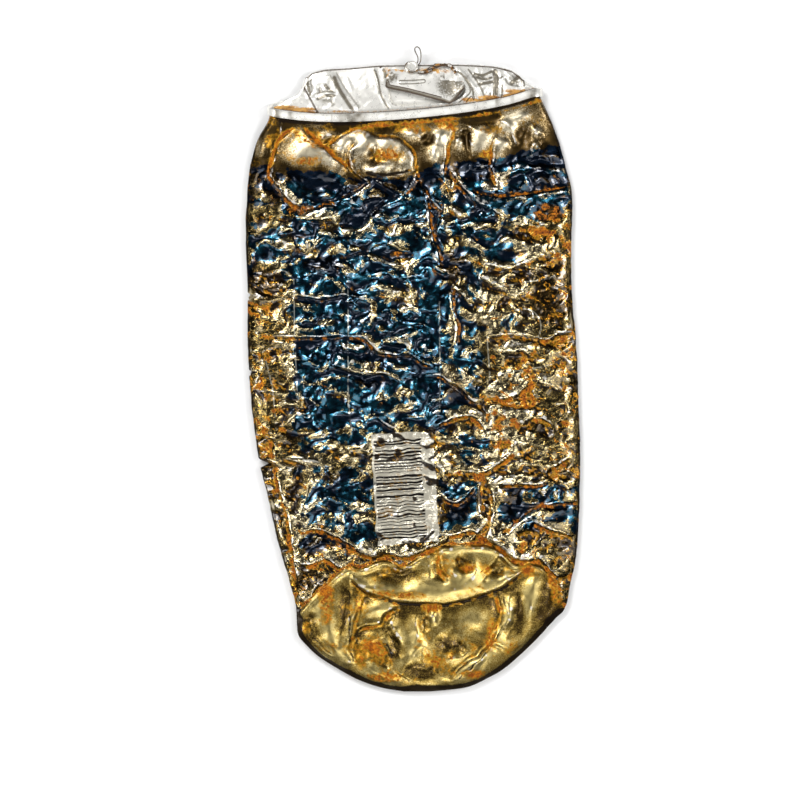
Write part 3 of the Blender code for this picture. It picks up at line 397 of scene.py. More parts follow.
# Places where the ink is gone and the bare sheet shines: (x, y, half length along x, half length along y,
# strength).
BARE_PLACES = [
    (-47.7, 48.3, 3, 2, 0.8), (-48.3, 55.2, 2, 1.5, 0.7), (-26.9, 45.7, 3.6, 3.2, 1),
    (-32.8, 48.3, 2.5, 1.5, 0.7), (-32.2, 36.8, 3, 1.6, 0.9), (-24.6, 37.7, 2.6, 1.8, 0.9),
    (-17, 38.1, 2.6, 0.9, 0.8), (-5.1, 43.7, 4, 1.8, 0.9), (-3.8, 39.1, 3, 1.6, 0.8), (-2.6, 33.2, 4.2, 2, 1),
    (-6.5, 23.6, 5, 2.8, 0.75), (-0.4, 22.8, 3.5, 3.6, 0.8), (-12.4, 18.6, 1.3, 3.5, 0.7),
    (-27.2, 15, 4, 1.1, 0.9), (-31.5, 26.5, 2, 1.2, 0.8), (17.1, 47.9, 3, 1, 0.6), (21.5, 45, 3.6, 1.6, 0.5),
    (13.2, 40.3, 4, 2, 0.7), (29, 37.5, 1.8, 0.9, 0.7), (27.2, 59.6, 4, 2.2, 0.8), (22.7, 17.2, 4.6, 3, 1),
    (-12.2, 0.3, 3, 2.4, 0.8), (-10.1, -8.4, 2.5, 2, 0.7), (-22.9, -8.1, 3.2, 1, 0.8),
    (-19.6, -0.2, 3, 0.8, 0.7), (-21.3, -26.6, 5, 3.4, 0.9), (-32.2, -28.9, 3, 1.8, 0.7),
    (-3, -17.7, 2, 2, 0.7), (-3.2, -7.1, 3, 1.4, 0.8), (-2.8, -12.4, 3, 1.4, 0.7),
    (-35.5, -11.1, 3, 2.5, 0.8), (25.5, 8, 4, 2.2, 0.8), (11.5, -35.3, 2.5, 2, 0.9),
    (-35.5, -36.7, 4, 2.5, 0.9), (-36.8, -42, 2.5, 2.5, 0.8), (-36.1, -47, 2.2, 1.6, 0.8),
    (-22.9, -50.6, 1.5, 1.4, 0.9), (-17.2, -42, 2, 1, 0.5), (-17, -46.9, 2, 1, 0.6),
    (-11.4, -54.5, 2.6, 1.4, 0.9), (-29.5, -33.4, 2, 1.2, 0.5), (-34.8, -59.5, 2.2, 1.4, 0.9),
    (30.7, -53.8, 4.5, 3, 0.9), (-40.1, 7.4, 4, 3, 0.5), (-39.4, -1.8, 4, 3, 0.7),
    (48.2, 49.1, 1.2, 2.4, 0.8), (48, -28.7, 2.2, 1.6, 0.9), (35.6, -30.4, 4, 1.4, 0.6),
]
# Tarnished places and places of painted shade in valleys and under folds, where the lacquer and the ink are
# darker, given in the same way.
TARNISH_AND_SHADE_PLACES = [
    (-27.9, 32.8, 7, 2.6, 1), (-46, 26.9, 5, 4, 0.9), (-43.4, 53.2, 2, 3, 0.6), (20.2, 61.6, 5, 2.2, 0.9),
    (38.8, 62.4, 2.4, 2.4, 0.8), (13.2, 33.7, 5, 4.6, 0.8), (-22.9, -32.2, 5, 3, 0.8),
    (-14.7, -3.8, 5, 1.4, 0.9), (-31.5, -55.9, 3.5, 2.4, 1), (-32.8, -66.1, 5, 3.6, 0.9),
    (22, -39.5, 2.2, 4, 0.7), (-45.2, 75, 3, 5, 0.9), (-20, 76.3, 7, 1.5, 0.9), (21.5, 78.6, 6, 1.6, 0.9),
    (34.5, 73.2, 2.2, 2.8, 0.9), (-9, 76.2, 7, 1.3, 0.8), (43, -72, 2.6, 6, 0.7), (-32.5, -82, 2.4, 4.5, 0.6),
    (1.4, -94.4, 6, 2, 0.5), (-5, -64.3, 5.5, 1.5, 0.9), (-21.4, -74, 1.5, 7, 0.7), (33.3, -77, 1.3, 6, 0.7),
    (11.7, -86.8, 4.4, 1.8, 0.7), (-5.8, -86, 1.5, 4.5, 0.8), (43, 24, 8, 12, 0.4),
    (4.6, 72.2, 1.6, 1.6, 0.8), (17, 72, 1.2, 3, 0.6), (44.5, 78, 2, 5, 0.5), (13.5, -46.5, 5.5, 4.5, 0.5),
    (29.7, -41.9, 4, 3, 0.6), (13.2, -7.7, 4, 4, 0.6), (19.2, -4.2, 3, 3, 0.7), (-39.4, -21.6, 4, 4, 0.6),
    (-12.5, 51, 4.5, 3, 0.7), (-12, -67, 3, 1.4, 0.4), (17, -61.5, 2.6, 1.6, 0.7),
]
# Patches of rust away from the creases, given in the same way.
RUST = [
    (41, 47, 9, 6, 0.95), (44, 38, 7, 5, 0.7), (36, -4, 4.5, 9, 1), (28.5, -8, 6, 3.5, 1),
    (27.2, -16.4, 7, 4.5, 1), (46, 8, 5, 14, 0.5), (21.3, -32.9, 2.6, 2.2, 1), (7.2, -24.5, 1.6, 3.4, 0.9),
    (22.2, -53.2, 2.6, 1.8, 1), (37.2, -57.2, 2.6, 2.2, 1), (43.7, -62.2, 4, 1.6, 0.9), (32, -53, 6, 4, 0.75),
    (-24.3, -55.9, 3.4, 2, 1), (-19, -56.5, 3, 1.6, 1), (-29.5, -49.9, 4, 1.6, 0.8),
    (-32, -61.8, 4, 1.2, 0.9), (2, -57.6, 11, 1.3, 0.9), (-49, -4.5, 2.6, 2.2, 0.9),
    (-46.7, -17.3, 3, 4, 0.9), (-42.5, -33, 1.6, 10, 0.6), (-38, -60, 1.4, 13, 0.7), (-47, 15, 4, 12, 0.5),
    (-44, -10, 3, 8, 0.5), (-27.9, -4.5, 2.2, 1.6, 0.8), (-12, 0.5, 2, 1.5, 0.5), (10, -14, 5, 2, 0.7),
    (46, -70, 2.6, 8, 0.7), (27.7, -75, 1.7, 5, 0.95), (-12, -68.2, 3, 1.2, 0.75), (-4, -68.8, 7, 1, 0.5),
    (-13, -82, 3.5, 1.6, 0.6), (-13.5, -90.5, 3.5, 2.6, 0.4), (24, -89, 5, 2, 0.5),
    (14.5, -94.5, 5, 1.6, 0.5), (-28, -80, 1.6, 5, 0.42), (-33.8, -84, 1.2, 3, 0.8),
    (24.5, -70.5, 3, 1.4, 0.8), (13, -72, 6, 0.8, 0.5), (7, -73.9, 3, 0.8, 0.5), (30.5, -66.5, 3, 1.2, 0.6),
    (-35, 50.5, 5, 1.6, 0.8), (0, 62, 2, 3, 0.9), (34, 24, 14, 6, 0.35), (47, -30, 5, 8, 0.5),
    (0, 78, 30, 1, 0.5), (26, 79.5, 12, 1.2, 0.55), (-5, 70, 3, 1.4, 0.6), (-12.6, 70, 1.2, 2.4, 0.6),
    (-27, 64, 2.6, 1.4, 0.7), (-17.5, 65.5, 1.2, 2.6, 0.7), (26, -62.5, 2.8, 2, 0.6),
    (14, -59.4, 3.4, 1, 0.6), (10.5, -67, 2, 1.2, 0.6), (-49.5, 58, 2, 4, 0.5), (7, 31, 4, 1.5, 0.9),
    (-4.6, 36.2, 3, 1, 0.8), (-7, -3, 4, 1.6, 0.3), (45, 55.5, 6, 1.4, 0.9), (-46.5, -26, 2.4, 3, 0.7),
    (20, -13, 4, 1.6, 0.5), (30, -22, 10, 5, 0.4), (40, -48, 7, 4, 0.4), (18, -46, 3, 8, 0.4),
    (-36, 40, 5, 6, 0.3),
]
# Lines of painted shade under folds, along creases and along the base's lower edge: (half-width, strength,
# points).
SHADE_LINES = [
    (0.8, 1.3, [(-14.5, 61.4), (-8.3, 61), (-4, 61.5), (-1.5, 62.4)]),
    (0.5, 1, [(-18.6, 68.5), (-18.9, 66), (-18.2, 63.4)]),
    (0.9, 0.9, [(2.5, 61.6), (9, 62.4), (14.4, 63.3), (24.5, 64.6), (33, 65.6), (37.5, 66.6), (40.5, 68.6)]),
    (1.3, 0.75, [(-9, 76.4), (-1, 76.2), (9, 77.2), (18, 77.9), (26, 79.6)]),
    (0.7, 0.8, [(-46.5, 62.6), (-42, 62.8), (-38, 63.4)]),
    (1.8, 0.9, [(36.5, 62.5), (38.5, 60.5)]),
    (0.4, 1.2, [(-41.6, 77.6), (-41.9, 73.4), (-43.4, 70.6)]),
    (0.45, 1.1, [(-20.2, -69.5), (-19.6, -78), (-20, -86), (-18.5, -91)]),
    (0.6, 1, [(-29, -90.5), (-20, -95.6), (-10, -99.2), (2, -100.4), (14, -99.4)]),
    (0.35, 1.2, [(26.7, -82.4), (24, -87), (20.2, -91.6), (14.5, -96.6)]),
    (0.4, 1, [(28, -70.5), (29.3, -76), (28.6, -82)]),
    (0.5, 0.9, [(-16.1, -86.8), (-12.5, -90.4), (-8, -93)]),
    (0.4, 1.2, [(-11, -84.6), (-7.6, -87.6), (-6, -91.6)]),
]
# Amber stains on the base and the neck, too thin to be rust, given in the same way.
AMBER_PLACES = [
    (-27.6, -72, 2.6, 10, 0.38), (-11.8, -87.5, 4, 6, 0.38), (-9.3, -96.5, 6, 1.8, 0.4),
    (-16.5, -92, 3, 3, 0.4), (-6, -70.5, 14, 1.6, 0.32), (5.8, -74.5, 4, 1.4, 0.3), (17, -62.4, 3, 1.6, 0.32),
    (23, -62.4, 2.4, 2.4, 0.36), (24.6, -84, 2, 6, 0.42), (19.5, -95.5, 5, 2, 0.42), (8, -90, 5, 3, 0.26),
    (35.7, -62.6, 2.4, 2, 0.36), (44, -66, 1.8, 5, 0.45), (10, -61, 3, 4, 0.26), (-20, -62, 3, 2, 0.36),
    (32, -88, 4, 3, 0.2), (-33.5, -81.5, 2, 4, 0.45), (-38, 73, 5, 3, 0.3), (-28, 71, 4, 2, 0.3),
    (-16, 74.5, 5, 1.6, 0.34), (0, 75.5, 8, 1.6, 0.34), (12, 76.5, 5, 2, 0.3), (25, 75, 5, 3, 0.26),
    (37, 78, 4, 2.5, 0.32), (-8, 66.5, 4, 2.4, 0.3), (22, 67.5, 5, 1.8, 0.3), (36, 69, 5, 2, 0.34),
    (-33, 65.5, 5, 1.6, 0.3),
]
# The print's thin pale lines, and its pale panel of dark bars.
PALE_LINES = [
    [(-20.3, 28), (-20.3, -10), (-19.5, -18)], [(8.4, 21.5), (8.4, -12)],
    [(-45.5, 29), (-42.5, 31.3), (-40, 30.8), (-37.4, 28.5), (-37.2, 15.5), (-36.2, -10)],
    [(-46.7, 5.5), (-44.2, -5), (-43, -15)], [(20.6, 30.5), (22, 19.5)], [(23.3, 10.5), (24.3, -5)],
    [(24, 25.5), (44.5, 29)], [(27, -1.5), (43.5, 1.5)],
]
RING_MIDDLE, RING_RADIUS = (34.5, 13.5), 5.6
BAR_PANEL = ((-13.2, -20.4), (19.4, 1.3), (2, -34.6))  # a corner, and the sides that leave it
PANEL_BARS, PANEL_BARS_RIGHT = 34, 0.8  # how many bars, and the share of the panel's width where they end

# ------------ lines and soft shapes


def smooth(points, steps=8):
    """A denser line through the points, as a Catmull-Rom curve."""
    p = np.array([points[0], *points, points[-1]], float)
    out = []
    for i in range(1, len(p) - 2):
        for t in np.arange(steps) / steps:
            a = 2 * p[i]
            b = p[i + 1] - p[i - 1]
            c = 2 * p[i - 1] - 5 * p[i] + 4 * p[i + 1] - p[i + 2]
            d = -p[i - 1] + 3 * p[i] - 3 * p[i + 1] + p[i + 2]
            out.append((a + b * t + c * t * t + d * t**3) / 2)
    out.append(p[-2])
    return np.array(out)


def resample(line, count):
    """So many points, evenly spaced along the line."""
    along = np.concatenate([[0.0], np.cumsum(np.linalg.norm(np.diff(line, axis=0), axis=1))])
    at = np.linspace(0, along[-1], count)
    return np.stack([np.interp(at, along, line[:, axis]) for axis in range(line.shape[1])], axis=1)


def to_line(x, y, line):
    """Distance to the line, positive on its left hand, and the nearest point's share of its length."""
    best, side, along = np.full(x.shape, np.inf), np.ones(x.shape), np.zeros(x.shape)
    steps = np.linalg.norm(np.diff(line, axis=0), axis=1)
    starts = np.concatenate([[0.0], np.cumsum(steps)])
    for a, b, step, start in zip(line[:-1], line[1:], steps, starts):
        dx, dy = (b - a) / step
        t = np.clip((x - a[0]) * dx + (y - a[1]) * dy, 0, step)
        d = np.hypot(x - a[0] - t * dx, y - a[1] - t * dy)
        closer = d < best
        best = np.where(closer, d, best)
        side = np.where(closer, np.where(dx * (y - a[1]) - dy * (x - a[0]) >= 0, 1.0, -1.0), side)
        along = np.where(closer, (start + t) / starts[-1], along)
    return best * side, along


def rise(t):
    """0 up to t = 0, 1 from t = 1 on, smooth between."""
    t = np.clip(t, 0.0, 1.0)
    return t * t * (3 - 2 * t)


def band(distance, middle, half_width):
    """1 at the middle distance, and fading to 0 on both sides of it like a bell."""
    return np.exp(-(((distance - middle) / half_width) ** 2))


def taper(along, share, start):
    """A line's strength, which rises from about start at its ends over this share of its length."""
    return rise(np.minimum(along, 1 - along) / share + start)


def greatest(*maps):
    """The greatest of the maps at each point."""
    return reduce(np.maximum, maps)


def ovals(places, x, y, power=1.5):
    """The greatest of the soft ovals (x, y, half length along x, half length along y, strength)."""
    total = np.zeros(x.shape)
    for px, py, rx, ry, strength in places:
        d = ((x - px) / rx) ** 2 + ((y - py) / ry) ** 2
        total = np.maximum(total, strength * np.exp(-(d**power)))
    return total


# ------------ noise on arrays

SCATTER = (374761393, 668265263, 974634777, 1274126177)  # large odd numbers that mix the bits
WORD, HALF_WORD = 0xFFFFFFFF, 0xFFFF
NOISE_GAIN = 1.6  # brings the noise to about -1 to 1


def lattice(ix, iy, seed):
    """A number from 0 to 1 for each cell of a grid, the same on each run."""
    h = (ix * SCATTER[0] + iy * SCATTER[1] + seed * SCATTER[2]) & WORD
    h = ((h ^ (h >> 13)) * SCATTER[3]) & WORD
    return ((h ^ (h >> 16)) & HALF_WORD) / (HALF_WORD + 1)


def noise(x, y, wide, tall, seed):
    """Smooth noise from about -1 to 1, with features about this wide and this tall."""
    x, y = x / wide, y / tall
    ix, iy = np.floor(x).astype(np.int64), np.floor(y).astype(np.int64)
    fx, fy = x - ix, y - iy
    total = 0.0
    for dx in (0, 1):
        for dy in (0, 1):
            angle = lattice(ix + dx, iy + dy, seed) * TAU
            share = rise(1 - np.abs(fx - dx)) * rise(1 - np.abs(fy - dy))
            total = total + share * (np.cos(angle) * (fx - dx) + np.sin(angle) * (fy - dy))
    return total * NOISE_GAIN


def cells(x, y, seed):
    """Distance to the nearest of a scattered set of points, about one to each unit square, and its number."""
    ix, iy = np.floor(x).astype(np.int64), np.floor(y).astype(np.int64)
    nearest, number = np.full(x.shape, np.inf), np.zeros(x.shape)
    for dx in (-1, 0, 1):
        for dy in (-1, 0, 1):
            px = ix + dx + lattice(ix + dx, iy + dy, seed)
            py = iy + dy + lattice(ix + dx, iy + dy, seed + 1)
            d = np.hypot(x - px, y - py)
            closer = d < nearest
            nearest = np.where(closer, d, nearest)
            number = np.where(closer, lattice(ix + dx, iy + dy, seed + 2), number)
    return nearest, number


# ------------ the plan raster


class Raster:
    """A plan grid over the body, and maps on it."""

    STEP = 0.25
    LEFT, BOTTOM, RIGHT, TOP = -55.0, -104.0, 55.0, 92.0

    def __init__(self):
        x = np.arange(self.LEFT, self.RIGHT, self.STEP)
        y = np.arange(self.BOTTOM, self.TOP, self.STEP)
        self.x, self.y = np.meshgrid(x, y)

    def beside(self, line, margin, shift=None):
        """The part of the grid within the margin of the line, and its points' x, y, distance to the line and
        share of the line's length. shift is a pair of maps that the points are moved by."""
        corner = np.array([self.LEFT, self.BOTTOM])
        ends = (np.min(line, axis=0) - margin, np.max(line, axis=0) + margin)
        low, high = (np.maximum((end - corner) / self.STEP, 0).astype(int) for end in ends)
        part = (slice(low[1], high[1] + 1), slice(low[0], high[0] + 1))
        x, y = self.x[part], self.y[part]
        if shift:
            x, y = x + shift[0][part], y + shift[1][part]
        return part, x, y, *to_line(x, y, line)

    def read(self, field, x, y):
        """The map's value at the points, by straight interpolation."""
        gx = np.clip((x - self.LEFT) / self.STEP, 0, field.shape[1] - 1.001)
        gy = np.clip((y - self.BOTTOM) / self.STEP, 0, field.shape[0] - 1.001)
        ix, iy = gx.astype(int), gy.astype(int)
        fx, fy = gx - ix, gy - iy
        low = field[iy, ix] * (1 - fx) + field[iy, ix + 1] * fx
        high = field[iy + 1, ix] * (1 - fx) + field[iy + 1, ix + 1] * fx
        return low * (1 - fy) + high * fy

    def blur(self, field, reach):
        """The map blurred by a bell of this half-width, in millimetres."""
        fy = np.fft.fftfreq(field.shape[0], self.STEP)[:, None]
        fx = np.fft.rfftfreq(field.shape[1], self.STEP)[None, :]
        bell = np.exp(-2 * (math.pi * reach) ** 2 * (fx**2 + fy**2))
        return np.fft.irfft2(np.fft.rfft2(field) * bell, s=field.shape)

    def stands_out(self, field, near, far):
        """How far the map, blurred a little, stands out of itself blurred more."""
        return self.blur(field, near) - self.blur(field, far)

    def below(self, points):
        """How far each point of the grid lies below the line, which runs from left to right."""
        line = smooth(points)
        return np.interp(self.x, line[:, 0], line[:, 1]) - self.y


# ------------ the body's relief

LINE_MARGIN, THIN_MARGIN = 9.0, 4.0  # how far from a fold or a thin line its shapes are worked out
FLANK, BASE_FLANK = 0.55, 0.8  # half-width of a crease's sides
RIDGE_TOP = 0.35  # how round a soft ridge's top is, in its half-widths
# Facets of the crushed sheet: width, height, depth, turn in radians, seed.
FACETS = [
    (12.5, 6.6, 1.35, 0.0, 21), (6.8, 3.9, 0.80, 0.15, 31), (3.5, 2.3, 0.27, -0.35, 41),
    (2.0, 1.5, 0.15, 0.6, 51),
]
# Bowls of the crushed sheet, some of them turned over: width, height, depth, seed.
BOWLS = [(6.5, 4.2, 0.9, 61), (3.3, 2.4, 0.24, 65)]
BOWL_RIM, BOWL_MEAN, BOWLS_TURNED, TURNED_DEPTH = 0.85, 0.25, 0.45, -0.6
# Slow swells over the whole body: depth, width, height, seed.
SWAYS = [(0.16, 5.5, 5.0, 75), (0.05, 2.0, 1.8, 76), (0.02, 0.9, 0.8, 77)]
BASE_SPAN = (6, 44)  # the middle and half-width of the folded base's upper edge


def creased(raster, creases, flank, shift):
    """Height, rust, crest highlight, closeness and painted shade of a set of creases. Distances across them
    are in flanks.
    """
    height, rust, crest, close, shade = (np.zeros(raster.x.shape) for _ in range(5))
    for ridge, step, rusty, points in creases:
        part, x, y, q, along = raster.beside(smooth(points, 5), LINE_MARGIN, shift)
        ends = taper(along, 0.10, 0.15) * np.clip(0.95 + 0.5 * noise(x, y, 5.0, 5.0, 17), 0.3, 1.25)
        whole = np.minimum(ends, 1.0)
        q = q / flank
        low_side = -np.sign(step) * q
        # a sharp ridge, a step that fades out, and a shallow trough on the lower side
        profile = ridge * np.exp(-np.abs(q)) + step * 1.3 * np.tanh(q / 1.2) * band(q, 0, 8)
        height[part] += ends * (profile - 0.6 * abs(ridge) * band(low_side, 2.2, 1.4))
        rust[part] = np.maximum(rust[part], ends * rusty * band(low_side, 1.6, 1.1))
        outlines = band(low_side, 0.80, 0.42) + 0.8 * band(low_side, -1.05, 0.42)
        shade[part] = np.maximum(shade[part], whole * outlines)
        # the crest: a pale worn line along a ridge, which also stands as a painted highlight
        crest[part] = np.maximum(crest[part], ends * (ridge > 0) * band(q, 0, 0.45))
        close[part] = np.maximum(close[part], whole * band(q, 0, 2.6))
    return height, rust, crest, close, shade


def ridged(raster, ridges, shift):
    """Height of a set of soft ridges."""
    height = np.zeros(raster.x.shape)
    for high, half_width, points in ridges:
        part, _, _, q, along = raster.beside(smooth(points, 5), LINE_MARGIN, shift)
        profile = np.exp(RIDGE_TOP - np.hypot(q / half_width, RIDGE_TOP))
        height[part] += high * taper(along, 0.3, 0.1) * profile
    return height


def swelled(x, y, swells):
    """Height of a set of smooth dents and swells."""
    total = np.zeros(x.shape)
    for height, middle_x, middle_y, rx, ry, turn in swells:
        c, s = math.cos(math.radians(turn)), math.sin(math.radians(turn))
        dx, dy = x - middle_x, y - middle_y
        total += height * np.exp(-(((dx * c + dy * s) / rx) ** 2 + ((dy * c - dx * s) / ry) ** 2) ** 1.3)
    return total


def crumples(x, y):
    """The crushed sheet: facets between sharp creases at four sizes, wider than they are tall, and bowls."""
    wx = x + 2.4 * noise(x, y, 11, 8, 11) + 1.0 * noise(x, y, 3.5, 2.6, 12)
    wy = y + 2.0 * noise(x, y, 10, 8, 13) + 0.8 * noise(x, y, 3.2, 2.6, 14)
    total = np.zeros(x.shape)
    for wide, tall, depth, turn, seed in FACETS:
        c, s = math.cos(turn), math.sin(turn)
        u, v = (wx * c + wy * s) / wide, (wy * c - wx * s) / tall
        swing = np.clip(1.8 * noise(x, y, 2.2 * wide, 2.2 * tall, seed + 5), -1, 1)
        fold = 2 * np.abs(noise(u, v, 1, 1, seed)) - 0.5
        total += depth * fold * np.where(swing < 0, 0.5, 1.0) * swing
        total += 0.35 * depth * noise(u + 9.3, v + 4.1, 1, 1, seed + 2)
    for wide, tall, depth, seed in BOWLS:
        distance, number = cells(wx / wide, wy / tall, seed)
        bowl = np.minimum(distance, BOWL_RIM) ** 2 - BOWL_MEAN
        total += depth * bowl * np.where(number > BOWLS_TURNED, 1.0, TURNED_DEPTH)
    return total


def body_zones(raster):
    """The maps that the others are made from: distances below the main lines, zones and grain."""
    x, y = raster.x, raster.y
    m = SimpleNamespace(raster=raster, x=x, y=y)
    m.wobble = [0.55 * noise(x, y, 3.1, 3.1, seed) for seed in (71, 72)]
    m.grain, m.spots = noise(x, y, 2.2, 2.0, 81), noise(x, y, 0.9, 0.9, 82)
    m.below_base, m.below_lip = raster.below(BASE_EDGE), raster.below(LIP_CREASE)
    m.below_neck, m.below_rim = raster.below(NECK_LINE), raster.below(RIM_FRONT)
    m.on_base = rise((m.below_base + 0.4) / 0.8)
    m.off_base = 1 - m.on_base
    m.by_base = np.abs(x - BASE_SPAN[0]) < BASE_SPAN[1]
    m.field = rise((m.below_neck + 1.0) / 5.0) * m.off_base
    m.smooth_part = 1 - m.field
    m.near_edge = rise((np.abs(x + 1.0) - 36.0) / 8.0)
    m.bare = ovals(BARE_PLACES, x, y)
    thick = np.clip(m.below_base - m.below_lip, 0, 20) * (x > LIP_LEFT) * (x < LIP_RIGHT)
    m.lipped = rise(thick / 5.0)
    m.lip_share = np.clip(-m.below_lip / np.maximum(thick, 0.5), 0, 1)
    return m


def base_fold(m):
    """Height of the folded base's swollen edge and overlapping lip, and of the trenches beside them."""
    on_lip = rise((0.15 - m.below_lip) / 0.35) * m.lipped
    roll = 0.95 * band(m.lip_share, 0.26, 0.20) - 0.25 * band(m.lip_share, 0.66, 0.16)
    height = 0.45 * band(m.below_base, 0.9, 0.9) - 0.1 + on_lip * (0.15 + roll)
    trench = 0.5 * (1 - on_lip) * band(m.below_lip, 0, 7.0) + 0.45 * band(m.below_lip, 0.1, 0.45)
    height -= m.lipped * trench
    return m.on_base * height - 0.6 * band(m.below_base, -0.6, 0.8) * m.by_base


def body_height(m):
    """The front's height above its plateau. The maps of its creases are kept for the rust, the wear and
    painted highlights, and the grime and painted shade.
    """
    half_wobble = [0.5 * shift for shift in m.wobble]
    creases, m.crease_rust, m.crest, close, shade = creased(m.raster, CREASES, FLANK, half_wobble)
    base_creases, m.base_rust, _, _, base_shade = creased(m.raster, BASE_CREASES, BASE_FLANK, half_wobble)
    m.crease_shade = np.where(m.on_base > 0.5, base_shade, shade)
    rough = m.field * (1 - 0.85 * ovals(CALM, m.x, m.y)) * (1 - 0.25 * m.near_edge) * (1 + 0.25 * m.bare)
    rough = 1.3 * rough * (1 - 0.7 * close) + 0.10 * m.smooth_part * m.off_base
    height = rough * crumples(m.x, m.y) + creases * (1 - 0.8 * m.on_base)
    height += (base_creases + 1.1 * ridged(m.raster, BASE_RIDGES, m.wobble)) * m.on_base
    height += 1.5 * swelled(m.x, m.y, SWELLS)
    for depth, wide, tall, seed in SWAYS:
        height += depth * noise(m.x, m.y, wide, tall, seed)
    return height + base_fold(m)


# ------------ the body's print, rust, wear, grime, and painted light and shade

# The weights are tuned. The material shows ink where its map is above 0, rust from about 0.45 on, and
# wear with painted highlights and grime with painted shade more and more from 0.5 to 1.


def lacquer_tone(m):
    """How light the lacquer is: painted light on swells, painted shade in hollows, near the edges and under
    the neck, and darker in tarnished places.
    """
    # painted shade in a band under the neck line
    under_neck_shade = band(m.below_neck, 1.2, 3.0) * (0.9 + 0.9 * noise(m.x, m.y, 5.0, 4.0, 79))
    # painted light where the relief stands out, and painted shade where it sinks
    tone = 0.55 + m.raster.stands_out(m.height, 0.8, 4.0) / 1.8
    # painted shade in the listed places and near the edges; some of the places are tarnish
    tone = tone - 0.7 * ovals(TARNISH_AND_SHADE_PLACES, m.x, m.y) - 0.22 * m.near_edge - 0.6 * under_neck_shade
    return np.clip(tone, 0.2 * m.on_base, 1)


def blue_ink(m):
    """The blue ink, which lies where this is above 0."""
    x, y = m.x, m.y
    ragged = 2.5 * noise(x, y, 6.0, 5.0, 90) + 1.2 * noise(x, y, 2.6, 2.2, 91)
    blue = np.full(x.shape, -1.0)
    for left, right, bottom, top, strength in BLUE:
        inside = reduce(np.minimum, (x - left, right - x, y - bottom, top - y)) + ragged
        blue = np.maximum(blue, strength * 1.6 * rise(inside / 5 + 0.5) - 1)
    blue += 0.50 * noise(x, y, 8.0, 6.0, 83) + 0.30 * m.grain + 0.25 * m.spots
    blue -= 0.06 + 0.50 * np.clip(m.fine / 0.15, -0.3, 1) + m.bare * (1.3 + 0.8 * m.grain)
    blue = np.minimum(blue, (m.below_neck + 0.9 * m.grain + 0.4 * m.spots) * 0.5)
    return np.where(m.on_base > 0.5, -1.0, blue)


def rust_veins(m, patches, bare_sheet):
    """Thin branching lines of rust on the crushed field, most of them near creases and patches."""
    x, y = m.x, m.y
    near = np.maximum(m.raster.blur(m.crease_rust, 1.6) * 1.6, patches * 0.8)
    near = np.clip(near * (0.8 + 0.5 * noise(x, y, 6.0, 5.0, 84)) + 0.30 * m.field, 0, 1)
    wx, wy = x + 1.2 * noise(x, y, 3.0, 3.0, 86), y + 1.2 * noise(x, y, 3.0, 3.0, 87)
    vein = np.minimum(np.abs(noise(wx, wy, 4.6, 3.2, 88)), np.abs(noise(wx, wy, 3.0, 2.4, 89)))
    veins = band(vein, 0, 0.055) * m.off_base * m.field
    return veins * (0.80 * near - 0.01 + 0.28 * bare_sheet + 0.35 * m.grain)


def body_rust(m):
    """Rust in patches and veins, along creases and their haloes and the base's folds, and as a thin veil."""
    grain, spots, off_base = m.grain, m.spots, m.off_base
    patches = ovals(RUST, m.x, m.y)
    sunk = np.clip(-m.wide / 0.35, -0.5, 1.0)
    bare_sheet = rise((0.1 - m.blue) / 0.5) * m.field
    broken = np.where(m.field > 0.3, 0.68 + 0.60 * grain + 0.45 * spots, 0.95 + 0.3 * grain)
    halo = np.clip(2.0 * m.raster.blur(m.crease_rust, 0.9), 0, 1) * m.smooth_part * off_base
    veil = 1.3 * ovals(AMBER_PLACES, m.x, m.y) + 0.08 + 0.34 * noise(m.x, m.y, 7.0, 6.0, 92) + 0.15 * grain
    rust = greatest(
        patches * (0.38 + 0.40 * sunk * off_base + 0.55 * grain + 0.25 * spots) - 0.06,
        rust_veins(m, patches, bare_sheet),
        m.crease_rust * (1 - 0.6 * m.on_base) * broken,
        0.42 * halo,
        m.base_rust * m.on_base * (0.65 + 0.5 * grain),
        (0.8 + 0.5 * grain) * band(m.below_base, -0.6, 0.55) * m.by_base,
        m.on_base * m.lipped * band(m.below_lip, 0.7, 0.6) * (0.25 + 0.6 * grain),
        veil * m.smooth_part,
    )
    rust += 0.14 * spots - 0.06 + (0.03 + 0.14 * grain) * bare_sheet + 0.05 * m.near_edge * off_base
    rust -= 0.36 * np.clip(m.fine / 0.12, 0, 1) * m.field
    rust -= 0.20 * m.smooth_part * off_base * rise((m.x - 4.0) / 8.0)
    return rust + 0.55 * band(m.below_rim, 2.75, 0.55) * (m.x > -16)


def body_wear(m):
    """How far the ridges and crests are rubbed bare, which also paints highlights along them."""
    wear = np.clip(m.fine / 0.16 - 0.42, 0, 1.3) * (0.5 + 0.8 * noise(m.x, m.y, 1.4, 1.4, 85)) * 0.9
    return np.maximum(wear, 1.15 * m.crest * m.off_base * (0.9 + 0.4 * m.grain))


def body_dirt(m):
    """Dark grime and painted shade in hollows, beside creases, under the base's lip and below the rim, and
    painted shade along the listed lines.
    """
    # painted shade, with some grime, in the relief's hollows
    hollow_shade = np.clip(-m.fine / 0.14, 0, 1.3) + 0.35 * np.clip(-m.wide / 0.5, 0, 1)
    dirt = greatest(
        hollow_shade * (0.15 + 0.85 * m.field),
        # painted shade outlining the creases
        m.crease_shade * 1.1,
        # painted shade under the base's overlapping lip
        1.8 * m.on_base * m.lipped * band(m.below_lip, 0.25, 0.5),
        # painted shade in the gap below the seam
        1.7 * band(m.below_rim, 1.85, 0.42),
    )
    # painted shade along the listed lines
    for half_width, strength, points in SHADE_LINES:
        part, _, _, far, _ = m.raster.beside(smooth(points), THIN_MARGIN, m.wobble)
        dirt[part] = np.maximum(dirt[part], strength * band(far, 0, half_width))
    return dirt


